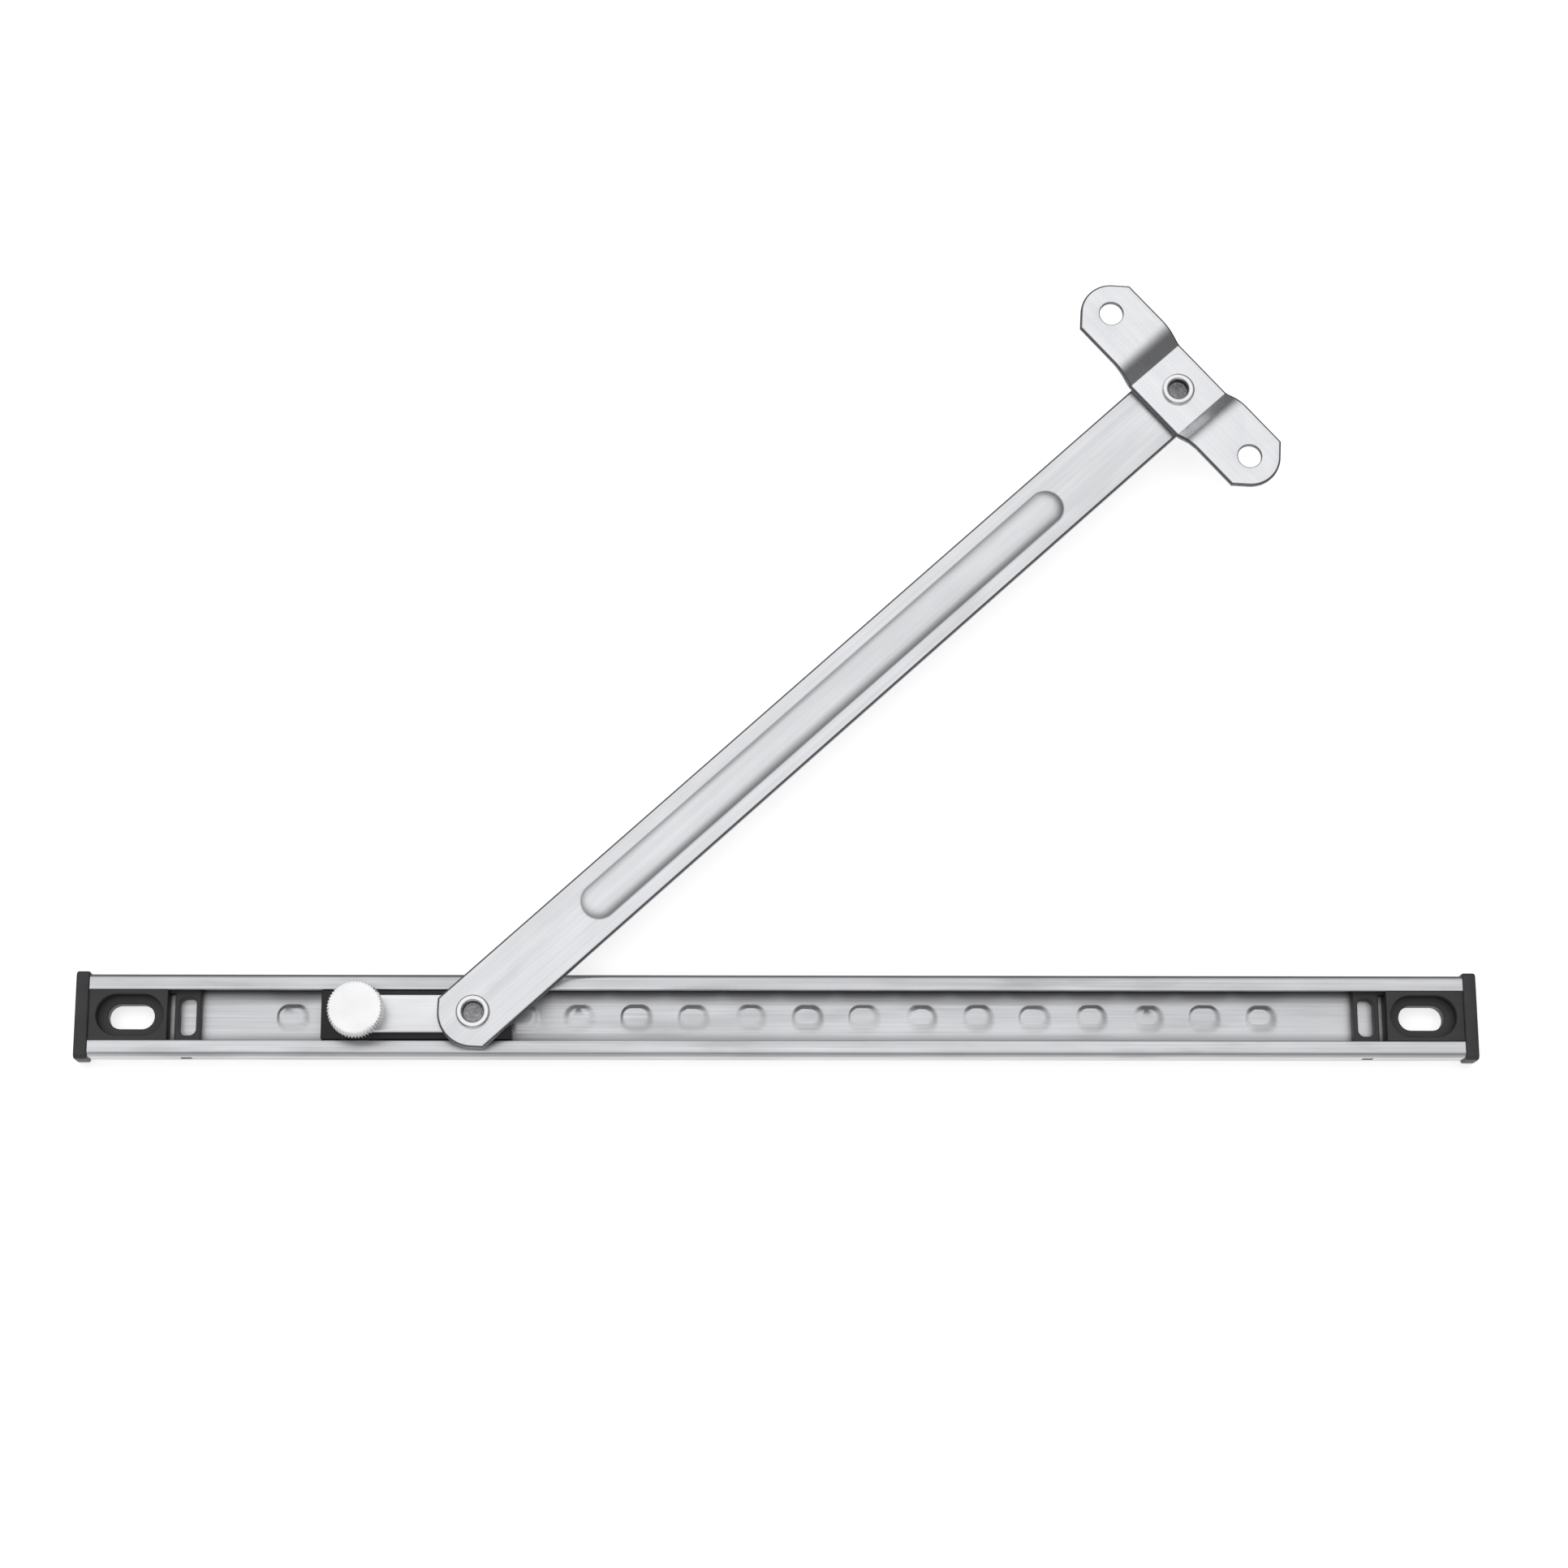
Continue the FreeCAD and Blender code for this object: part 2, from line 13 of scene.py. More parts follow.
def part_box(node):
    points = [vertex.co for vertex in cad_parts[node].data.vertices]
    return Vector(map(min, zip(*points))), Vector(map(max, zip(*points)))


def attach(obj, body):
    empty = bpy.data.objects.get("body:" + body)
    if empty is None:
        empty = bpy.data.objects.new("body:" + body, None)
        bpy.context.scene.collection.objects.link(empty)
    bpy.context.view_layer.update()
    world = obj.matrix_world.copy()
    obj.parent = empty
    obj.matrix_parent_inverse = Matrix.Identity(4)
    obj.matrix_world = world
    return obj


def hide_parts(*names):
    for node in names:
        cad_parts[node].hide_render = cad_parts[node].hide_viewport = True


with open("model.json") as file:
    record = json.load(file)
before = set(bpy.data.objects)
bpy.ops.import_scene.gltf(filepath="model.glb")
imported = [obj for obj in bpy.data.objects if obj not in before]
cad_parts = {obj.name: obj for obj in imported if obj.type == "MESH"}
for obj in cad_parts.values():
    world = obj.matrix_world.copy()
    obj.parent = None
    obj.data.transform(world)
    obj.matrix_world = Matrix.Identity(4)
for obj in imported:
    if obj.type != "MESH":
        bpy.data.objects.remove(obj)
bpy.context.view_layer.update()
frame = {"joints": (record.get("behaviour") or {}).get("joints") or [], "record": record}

bl_info = {
    "name": "Friction stay hinge",
    "version": (1, 0, 0),
    "blender": (4, 5, 0),
    "location": "3D View > Sidebar > Stay",
    "description": "Builds the visible pieces and finishes of a sliding window stay",
    "category": "Add Mesh",
}

MM = 0.001
UP = Vector((0, 0, 1))
BRIGHT_SIDE = Vector((-0.12, 0.26, 0.96))
LOOK_AT = Vector((1.23, 54.3, 0)) * MM
CAP_GAP = 0.05 * MM
RUN_GAP = 0.15 * MM
SMALL = 1e-6

JOINTS = {joint["name"]: joint for joint in frame["joints"]}
MOUNTS = {mount["name"]: Vector(mount["pos_m"]) for mount in frame["record"]["mounts"]}
BODY_OF = {node: body for body, nodes in frame["record"]["behaviour"]["bodies"].items() for node in nodes}

RAIL_LOW, RAIL_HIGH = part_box("channel_rail")
CAP_LOW, CAP_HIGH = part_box("end_cap_right")
BLOCK_LOW, BLOCK_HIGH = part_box("slider_block")
STRAP_LOW, STRAP_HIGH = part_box("slider_strap")
KNOB_LOW, KNOB_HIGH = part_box("lock_knob")
STUD_LOW, STUD_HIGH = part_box("lock_stud")
NUT_LOW, NUT_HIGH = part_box("clamp_nut")
SPRING_LOW, SPRING_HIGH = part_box("detent_spring")
ARM_LOW, ARM_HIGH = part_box("stay_arm")
BRACKET_LOW, BRACKET_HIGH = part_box("sash_bracket")

ARM_PIVOT = Vector(JOINTS["arm_pivot"]["pos_m"])
SASH_PIVOT = Vector(JOINTS["bracket_pivot"]["pos_m"])
KNOB_AXIS = Vector(JOINTS["lock_turn"]["pos_m"])
ARM_RUN = SASH_PIVOT - ARM_PIVOT
ARM_RUN.z = 0
ARM_ANGLE = math.atan2(ARM_RUN.y, ARM_RUN.x)
EAR_RUN = MOUNTS["sash_face"] - MOUNTS["sash_fixings"]
BRACKET_ANGLE = math.atan2(EAR_RUN.y, EAR_RUN.x)


# ---- mesh helpers ----

def loop_of(verts):
    """The edges that join a set of points."""
    edges = {edge for vert in verts for edge in vert.link_edges}
    return [edge for edge in edges if all(end in verts for end in edge.verts)]


def ring(bm, length, width, corner, z, x=0.0, y=0.0, steps=48):
    """A flat loop: a rectangle with round corners, a slot or a circle."""
    turn = Matrix.Rotation(math.pi / steps, 4, "Z")
    made = bmesh.ops.create_circle(bm, cap_ends=False, radius=corner, segments=steps, matrix=turn)
    for vert in made["verts"]:
        vert.co.x += math.copysign(length / 2 - corner, vert.co.x) + x
        vert.co.y += math.copysign(width / 2 - corner, vert.co.y) + y
        vert.co.z = z
    return loop_of(set(made["verts"]))


def circle(bm, diameter, z, x=0.0, steps=64):
    """A flat round loop."""
    return ring(bm, diameter, diameter, diameter / 2, z, x, steps=steps)


def loft(bm, loops):
    """Skins each level loop to the next one, with a flat fill where both lie at one height."""
    for first, second in zip(loops, loops[1:]):
        if abs(first[0].verts[0].co.z - second[0].verts[0].co.z) < SMALL:
            bmesh.ops.triangle_fill(bm, use_beauty=True, edges=first + second, normal=UP)
        else:
            bmesh.ops.bridge_loops(bm, edges=first + second)


def close_loop(bm, loop):
    """Fills a flat loop with one face."""
    bmesh.ops.contextual_create(bm, geom=loop)


def closed_loft(bm, loops):
    """Skins level loops and closes both ends."""
    loft(bm, loops)
    close_loop(bm, loops[0])
    close_loop(bm, loops[-1])


def face_at(bm, x, y, z, normal):
    """The face nearest to a point that looks one way."""
    bm.normal_update()
    point = Vector((x, y, z))
    facing = [face for face in bm.faces if face.normal.dot(normal) > 0.999]
    return min(facing, key=lambda face: (face.calc_center_bounds() - point).length)


def open_face(bm, face, loop):
    """Swaps a flat face for a skin from its border to a loop inside it."""
    border = list(face.edges)
    normal = face.normal.copy()
    bmesh.ops.delete(bm, geom=[face], context="FACES_ONLY")
    bmesh.ops.triangle_fill(bm, use_beauty=True, edges=border + loop, normal=normal)


def face_by(bm, x, loop, normal):
    """The level face at a loop's height that lies nearest to a place along X."""
    return face_at(bm, x, 0, loop[0].verts[0].co.z, normal)


def cut_through(bm, x, loops):
    """Opens the faces above and below a place with a hole whose wall follows the loops."""
    above, below = face_by(bm, x, loops[0], UP), face_by(bm, x, loops[-1], -UP)
    open_face(bm, above, loops[0])
    open_face(bm, below, loops[-1])
    loft(bm, loops)


def press(bm, x, normal, loops):
    """Raises or sinks a closed shape out of the face at a place along X."""
    open_face(bm, face_by(bm, x, loops[0], normal), loops[0])
    loft(bm, loops)
    close_loop(bm, loops[-1])


def block(bm, low, high):
    """A box between two corners, as its points."""
    low, high = Vector(low), Vector(high)
    place = Matrix.Translation((low + high) / 2) @ Matrix.Diagonal((*(high - low), 1))
    return bmesh.ops.create_cube(bm, size=1, matrix=place)["verts"]


def straight_edges(verts, axis):
    """The edges of a block that run along one axis."""
    found = {edge for vert in verts for edge in vert.link_edges}
    return [edge for edge in found if abs((edge.verts[0].co - edge.verts[1].co).normalized()[axis]) > 0.999]


def soften(bm, edges, radius, segments=2, second=False, clamp=True):
    """Rounds edges, and gives the new faces the piece's second finish if asked."""
    made = bmesh.ops.bevel(bm, geom=edges, offset=radius, offset_type="OFFSET", segments=segments,
                           profile=0.5, affect="EDGES", clamp_overlap=clamp, material=-1)
    for face in made["faces"]:
        face.material_index = int(second)


def sharp_edges(bm, angle):
    """Every edge whose two faces meet at more than an angle."""
    bm.normal_update()
    return [edge for edge in bm.edges if len(edge.link_faces) == 2 and edge.calc_face_angle() > angle]


def cut_across(bm, axis, places, faces=None):
    """Splits faces with planes square to an axis."""
    normal = Vector((0, 0, 0))
    normal[axis] = 1
    for place in places:
        chosen = [face for face in bm.faces if faces is None or faces(face)]
        parts = set(chosen)
        for face in chosen:
            parts.update(face.edges)
            parts.update(face.verts)
        bmesh.ops.bisect_plane(bm, geom=list(parts), dist=SMALL, plane_co=normal * place, plane_no=normal)


def draw_out(bm, face, shift):
    """Draws a face out into a solid."""
    raised = bmesh.ops.extrude_face_region(bm, geom=[face])["geom"]
    lifted = [item for item in raised if isinstance(item, bmesh.types.BMVert)]
    bmesh.ops.translate(bm, verts=lifted, vec=shift)
    bmesh.ops.recalc_face_normals(bm, faces=bm.faces[:])


def drawn_section(section, start, end):
    """A bar along X from a section given as points across and up."""
    bm = bmesh.new()
    face = bm.faces.new([bm.verts.new((start, y, z)) for y, z in section])
    draw_out(bm, face, (end - start, 0, 0))
    return bm


def clipped_slab(bm, length, width, nose, low, high):
    """A flat strip along X with 45 degree shoulders and round noses about its end holes."""
    half = width / 2
    shoulder = length / 2 + nose * math.sqrt(2) - half
    outline = [(shoulder, -half), (shoulder + half, 0), (shoulder, half),
               (-shoulder, half), (-shoulder - half, 0), (-shoulder, -half)]
    verts = [bm.verts.new((x, y, low)) for x, y in outline]
    bm.faces.new(verts)
    tips = [vert for vert in verts if abs(vert.co.y) < SMALL]
    bmesh.ops.bevel(bm, geom=tips, offset=nose, offset_type="OFFSET", segments=16,
                    profile=0.5, affect="VERTICES", clamp_overlap=False, material=-1)
    draw_out(bm, bm.faces[:][0], (0, 0, high - low))


def turned(bm, profile, x, y, steps=72):
    """Spins a half section, given as radius and height, about an upright axis."""
    points = [bm.verts.new((radius, 0, z)) for radius, z in profile]
    edges = [bm.edges.new(pair) for pair in zip(points, points[1:])]
    bmesh.ops.spin(bm, geom=points + edges, cent=(0, 0, 0), axis=(0, 0, 1), dvec=(0, 0, 0),
                   angle=math.tau, steps=steps, use_merge=True, use_duplicate=False)
    bmesh.ops.remove_doubles(bm, verts=bm.verts[:], dist=SMALL)
    bmesh.ops.translate(bm, verts=bm.verts[:], vec=(x, y, 0))


def is_sheared(face):
    """A face on the cut edge of a plate."""
    return abs(face.normal.z) < 0.5


def stand_for(bm, name, node, finish, crease=32.0, place=None, second=None):
    """Closes a mesh, puts it in place and lets it stand for its CAD node.

    A second finish comes with the test that picks its faces.
    """
    bmesh.ops.remove_doubles(bm, verts=bm.verts[:], dist=SMALL)
    if place is not None:
        bmesh.ops.transform(bm, matrix=place, verts=bm.verts[:])
    bmesh.ops.recalc_face_normals(bm, faces=bm.faces[:])
    bm.normal_update()
    if second is not None:
        for face in bm.faces:
            if second[1](face):
                face.material_index = 1
    mesh = bpy.data.meshes.new(name)
    bm.to_mesh(mesh)
    bm.free()
    mesh.shade_smooth()
    mesh.set_sharp_from_angle(angle=math.radians(crease))
    mesh.materials.append(finish)
    if second is not None:
        mesh.materials.append(second[0])
    piece = bpy.data.objects.new(name, mesh)
    bpy.context.scene.collection.objects.link(piece)
    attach(piece, BODY_OF[node])
    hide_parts(node)
    return piece


# ---- finishes ----

def finish_nodes(name):
    """A new material, its node tree and its shader."""
    finish = bpy.data.materials.new(name)
    finish.use_nodes = True
    tree = finish.node_tree
    return finish, tree, tree.nodes["Principled BSDF"]


def join(tree, node, inputs):
    """Links each named input of a node to a socket, or gives it a plain value."""
    for key, value in inputs.items():
        if isinstance(value, bpy.types.NodeSocket):
            tree.links.new(value, node.inputs[key])
        else:
            node.inputs[key].default_value = value


def add_node(tree, kind, inputs, **traits):
    """A new shader node with its traits and inputs set."""
    node = tree.nodes.new("ShaderNode" + kind)
    for trait, value in traits.items():
        setattr(node, trait, value)
    join(tree, node, inputs)
    return node


def grain(tree, scale, turn=0.0, centre=(0, 0, 0), detail=3.0, roughness=0.5):
    """Noise on object coordinates, stretched by a scale for each axis."""
    place = add_node(tree, "TexCoord", {})
    shift = add_node(tree, "Mapping", {"Vector": place.outputs["Object"], "Location": centre,
                                       "Rotation": (0, 0, turn)}, vector_type="TEXTURE")
    stretch = add_node(tree, "Mapping", {"Vector": shift.outputs["Vector"], "Scale": scale})
    noise = add_node(tree, "TexNoise", {"Vector": stretch.outputs["Vector"], "Scale": 1.0,
                                        "Detail": detail, "Roughness": roughness})
    return noise.outputs["Fac"]


def spread(tree, value, low, high, start=0.3, end=0.7):
    """Maps a 0 to 1 value onto a range."""
    node = add_node(tree, "MapRange", {"Value": value, "From Min": start, "From Max": end,
                                       "To Min": low, "To Max": high})
    return node.outputs["Result"]


def times(tree, first, second):
    """The product of two values."""
    return add_node(tree, "Math", {0: first, 1: second}, operation="MULTIPLY").outputs["Value"]


def tint(tree, colour, shade):
    """A colour made lighter and darker by a value."""
    node = add_node(tree, "VectorMath", {0: colour[:3], "Scale": shade}, operation="SCALE")
    return node.outputs["Vector"]


def relief(tree, height, depth):
    """A bump from a height of 0 to 1."""
    node = add_node(tree, "Bump", {"Distance": depth, "Strength": 1.0, "Height": height})
    return node.outputs["Normal"]


def painted_channel_shade(tree, start, end, least):
    """Painted shade that falls off from the rail's middle line towards its side walls, standing in for the
    lips' shadow and reflection on the channel's floor.
    """
    place = add_node(tree, "TexCoord", {})
    parts = add_node(tree, "SeparateXYZ", {"Vector": place.outputs["Object"]})
    across = add_node(tree, "Math", {0: parts.outputs["Y"]}, operation="ABSOLUTE")
    return spread(tree, across.outputs["Value"], 1.0, least, start, end)


def brushed_steel(name, colour, roughness, turn=0.0, centre=(0, 0, 0), contrast=0.1, cloud=0.05,
                  smudge=0.0, line=0.00035, depth=0.000004, wall_shade=None):
    """Satin steel with fine lines along one direction, cloudy patches, smudges and, if asked, a dark painted
    shade towards the channel's walls.
    """
    finish, tree, shader = finish_nodes(name)
    lines = grain(tree, (18, 1 / line, 1 / line), turn, centre, detail=4.0, roughness=0.65)
    broad = grain(tree, (9, 0.18 / line, 0.18 / line), turn, centre, detail=2.0)
    patches = grain(tree, (55, 160, 160), turn, centre, detail=2.0)
    shade = times(tree, spread(tree, lines, 1 - contrast, 1 + contrast * 0.5),
                  times(tree, spread(tree, broad, 1 - contrast, 1 + contrast * 0.4),
                        spread(tree, patches, 1 - cloud, 1 + cloud)))
    if smudge:
        marks = grain(tree, (26, 150, 150), turn, centre, detail=3.0, roughness=0.6)
        shade = times(tree, shade, spread(tree, marks, 1 - smudge, 1.0, 0.36, 0.48))
    # painted shade: darkens the channel floor towards its walls in place of the lips' shadow
    if wall_shade is not None:
        shade = times(tree, shade, painted_channel_shade(tree, *wall_shade))
    join(tree, shader, {"Base Color": tint(tree, colour, shade), "Metallic": 1.0,
                        "Roughness": spread(tree, lines, roughness * 1.2, roughness * 0.85),
                        "Normal": relief(tree, lines, depth)})
    return finish


def sheared_steel(piece):
    """The dull cut edge of a stamped plate, with fine upright drag lines."""
    finish, tree, shader = finish_nodes(piece + "_cut_edge")
    drag = grain(tree, (3200, 3200, 300), detail=2.0)
    colour = tint(tree, (0.26, 0.26, 0.27), spread(tree, drag, 0.75, 1.15))
    join(tree, shader, {"Base Color": colour, "Metallic": 1.0, "Roughness": 0.42,
                        "Normal": relief(tree, drag, 0.00001)})
    return finish


def plated_metal(name, colour, roughness, speck=0.0006, contrast=0.04, depth=0.000002):
    """Smooth plated steel with a faint orange peel and handling marks."""
    finish, tree, shader = finish_nodes(name)
    peel = grain(tree, (1 / speck,) * 3, detail=3.0)
    patches = grain(tree, (220, 220, 220), detail=3.0)
    shade = times(tree, spread(tree, peel, 1 - contrast, 1),
                  spread(tree, patches, 1 - contrast, 1 + contrast))
    join(tree, shader, {"Base Color": tint(tree, colour, shade), "Metallic": 1.0,
                        "Roughness": spread(tree, patches, roughness * 0.85, roughness * 1.25),
                        "Normal": relief(tree, peel, depth)})
    return finish


def moulded_nylon(name, colour, roughness, speck=0.00025, contrast=0.18, depth=0.000012):
    """Moulded plastic with a fine spark-eroded texture and slight flow marks."""
    finish, tree, shader = finish_nodes(name)
    spark = grain(tree, (1 / speck,) * 3, detail=2.0, roughness=0.6)
    flow = grain(tree, (90, 260, 160), detail=3.0)
    shade = times(tree, spread(tree, spark, 1 - contrast * 0.5, 1 + contrast * 0.5),
                  spread(tree, flow, 1 - contrast, 1 + contrast))
    join(tree, shader, {"Base Color": tint(tree, colour, shade), "Specular IOR Level": 0.4,
                        "Roughness": spread(tree, flow, roughness * 0.88, roughness * 1.12),
                        "Normal": relief(tree, spark, depth)})
    return finish


# ---- settings ----

def size(name, description, default):
    """A length that a user may change."""
    return bpy.props.FloatProperty(name=name, description=description, default=default,
                                   min=0.0, unit="LENGTH", precision=5)


def paint(name, description, default):
    """A colour that a user may change."""
    return bpy.props.FloatVectorProperty(name=name, description=description, default=default,
                                         subtype="COLOR", size=3, min=0.0, max=1.0)


def share(name, description, default):
    """A roughness or other share from 0 to 1."""
    return bpy.props.FloatProperty(name=name, description=description, default=default,
                                   min=0.0, max=1.0, subtype="FACTOR")


class RailSettings(bpy.types.PropertyGroup):
    """Sizes and finish of the rail."""
    sheet: size("Sheet", "Thickness of the rolled steel", 1.0 * MM)
    lip: size("Lip", "Width of each turned-in lip", 3.6 * MM)
    bend: size("Bend", "Outer radius of the rolled corners", 1.3 * MM)
    pitch: size("Dimple pitch", "Distance between dimples", 12.7 * MM)
    dimple_end: size("Dimple end distance", "Nearest dimple to the rail's end", 44.4 * MM)
    dimple_length: size("Dimple length", "Length of a dimple at its foot", 6.8 * MM)
    dimple_width: size("Dimple width", "Width of a dimple at its foot", 5.8 * MM)
    dimple_corner: size("Dimple corner", "Corner radius of a dimple", 2.4 * MM)
    dimple_blend: size("Dimple blend", "How far a dimple's foot runs out into the floor", 0.5 * MM)
    dimple_height: size("Dimple height", "How far a dimple stands up", 0.8 * MM)
    slot_length: size("Slot length", "Length of the fixing slot in the rail", 10.4 * MM)
    slot_width: size("Slot width", "Width of the fixing slot in the rail", 5.8 * MM)
    slot_centre: size("Slot centre", "Slot centre from the rail's end", 9.0 * MM)
    barb_centre: size("Barb hole centre", "Barb hole from the rail's end", 21.45 * MM)
    barb_length: size("Barb hole length", "Length of the barb hole", 2.4 * MM)
    barb_height: size("Barb hole height", "Height of the barb hole", 2.0 * MM)
    barb_base: size("Barb hole base", "Foot of the barb hole above the rail's back", 2.4 * MM)
    colour: paint("Steel", "Colour of the rail's steel", (0.7, 0.705, 0.72))
    floor_colour: paint("Floor steel", "Colour of the steel inside the channel", (0.7, 0.705, 0.72))
    roughness: share("Roughness", "Roughness of the rail's steel", 0.34)


class CapSettings(bpy.types.PropertyGroup):
    """Sizes and finish of the end caps."""
    flange: size("Flange", "Thickness of the end flange", 3.0 * MM)
    recess_wall: size("Recess wall", "Wall left round the screw recess", 0.9 * MM)
    recess_depth: size("Recess depth", "Depth of the screw recess", 2.8 * MM)
    recess_stretch: size("Recess stretch", "Extra length of the screw recess", 0.9 * MM)
    relief_gap: size("Relief gap", "Gap between the body and the tongue", 1.3 * MM)
    bar: size("Bar", "Width of the tongue's cross bars", 0.95 * MM)
    window: size("Window", "Length of the tongue's window", 3.8 * MM)
    window_wall: size("Window wall", "Wall left at the window's ends", 1.3 * MM)
    tongue_drop: size("Tongue drop", "How far the tongue lies below the foot", 1.2 * MM)
    edge: size("Edge", "Radius of the moulded edges", 0.3 * MM)
    colour: paint("Nylon", "Colour of the caps", (0.048, 0.048, 0.05))
    roughness: share("Roughness", "Roughness of the caps", 0.5)


class SliderSettings(bpy.types.PropertyGroup):
    """Sizes and finish of the sliding block and its strap."""
    edge: size("Edge", "Radius of the block's edges", 0.3 * MM)
    strap_edge: size("Strap edge", "Radius of the strap's sheared edge", 0.35 * MM)
    colour: paint("Acetal", "Colour of the block", (0.013, 0.013, 0.014))
    strap_colour: paint("Strap steel", "Colour of the strap", (0.84, 0.845, 0.86))


class KnobSettings(bpy.types.PropertyGroup):
    """Sizes and finish of the lock knob."""
    teeth: bpy.props.IntProperty(name="Teeth", description="Fine teeth round the rim", default=52, min=12)
    tooth: size("Tooth depth", "Depth of the teeth", 0.55 * MM)
    neck: size("Neck", "Diameter of the neck below the head", 7.0 * MM)
    head: size("Head", "Height of the head", 4.8 * MM)
    edge: size("Edge", "Radius of the head's top edge", 0.5 * MM)
    pitch: size("Thread pitch", "Rise of the stud's thread in a turn", 0.8 * MM)
    thread: size("Thread depth", "Depth of the stud's thread", 0.42 * MM)
    nut_hole: size("Nut hole", "Diameter of the hole in the clamp nut", 5.1 * MM)
    colour: paint("Plate", "Colour of the knob's plating", (0.985, 0.985, 0.985))


class RivetSettings(bpy.types.PropertyGroup):
    """Sizes and finish of the two semi-tubular rivets."""
    shank: size("Shank", "Diameter of the shank", 5.8 * MM)
    bore: size("Bore", "Diameter of the blind bore", 4.6 * MM)
    ring: size("Ring", "Diameter of the rolled ring", 7.5 * MM)
    ring_height: size("Ring height", "Height of the rolled ring", 0.9 * MM)
    head_height: size("Head height", "Thickness of the lower head", 1.2 * MM)
    depth: size("Bore depth", "Depth of the bore", 2.2 * MM)
    colour: paint("Plate", "Colour of the rivets", (0.9, 0.9, 0.905))


class ArmSettings(bpy.types.PropertyGroup):
    """Sizes and finish of the stay arm."""
    width: size("Width", "Width of the arm", 15.0 * MM)
    nose: size("Nose", "Radius of the rounded ends", 7.9 * MM)
    sheet: size("Sheet", "Thickness of the arm", 2.0 * MM)
    hole: size("Hole", "Diameter of the pivot holes", 5.9 * MM)
    bead_width: size("Bead width", "Width of the pressed bead", 8.5 * MM)
    bead_start: size("Bead start", "Bead's start from the slider pivot", 32.8 * MM)
    bead_end: size("Bead end", "Bead's end from the sash pivot", 37.8 * MM)
    edge: size("Edge", "Radius of the sheared edges", 0.45 * MM)
    colour: paint("Steel", "Colour of the arm", (0.78, 0.785, 0.8))
    roughness: share("Roughness", "Roughness of the arm", 0.33)


class BracketSettings(bpy.types.PropertyGroup):
    """Sizes and finish of the sash bracket."""
    width: size("Width", "Width of the plate", 15.7 * MM)
    nose: size("Nose", "Radius of the ears' ends", 7.1 * MM)
    sheet: size("Sheet", "Thickness of the plate", 1.5 * MM)
    spacing: size("Hole spacing", "Distance between the ears' holes", 46.3 * MM)
    hole: size("Hole", "Diameter of the ears' holes", 5.4 * MM)
    pivot_hole: size("Pivot hole", "Diameter of the hole for the rivet", 5.9 * MM)
    seat: size("Seat", "Length of the flat seat", 16.8 * MM)
    ramp: size("Ramp", "Length of each ramp", 4.0 * MM)
    bend: size("Seat bend", "Inner radius of the bends at the seat", 0.4 * MM)
    ear_bend: size("Ear bend", "Inner radius of the bends at the ears", 4.0 * MM)
    edge: size("Edge", "Radius of the sheared edges", 0.45 * MM)
    hole_edge: size("Hole edge", "Radius of the holes' edges", 0.3 * MM)
    colour: paint("Steel", "Colour of the bracket", (0.82, 0.825, 0.84))
    roughness: share("Roughness", "Roughness of the bracket", 0.26)


class StageSettings(bpy.types.PropertyGroup):
    """Floor, light and camera."""
    floor: paint("Floor", "Colour of the floor", (0.93, 0.93, 0.93))
    zenith: bpy.props.FloatProperty(name="Overhead light", description="Brightness straight above",
                                    default=1.04, min=0.0)
    horizon: bpy.props.FloatProperty(name="Side light", description="Brightness near the horizon",
                                     default=0.13, min=0.0)
    glow: bpy.props.FloatProperty(name="Floor glow", description="Light that the floor gives by itself",
                                  default=0.6, min=0.0)
    lens: bpy.props.FloatProperty(name="Lens", description="Focal length", default=74.53, unit="CAMERA")
    distance: size("Distance", "Camera to the middle of the view", 738.1 * MM)
    tilt: bpy.props.FloatProperty(name="Tilt", description="Camera's lean towards the rail's side",
                                  default=math.radians(13.64), unit="ROTATION")
    pan: bpy.props.FloatProperty(name="Pan", description="Camera's lean along the rail",
                                 default=math.radians(-1.509), unit="ROTATION")
    roll: bpy.props.FloatProperty(name="Roll", description="Turn about the view",
                                  default=math.radians(-0.179), unit="ROTATION")


# ---- pieces ----

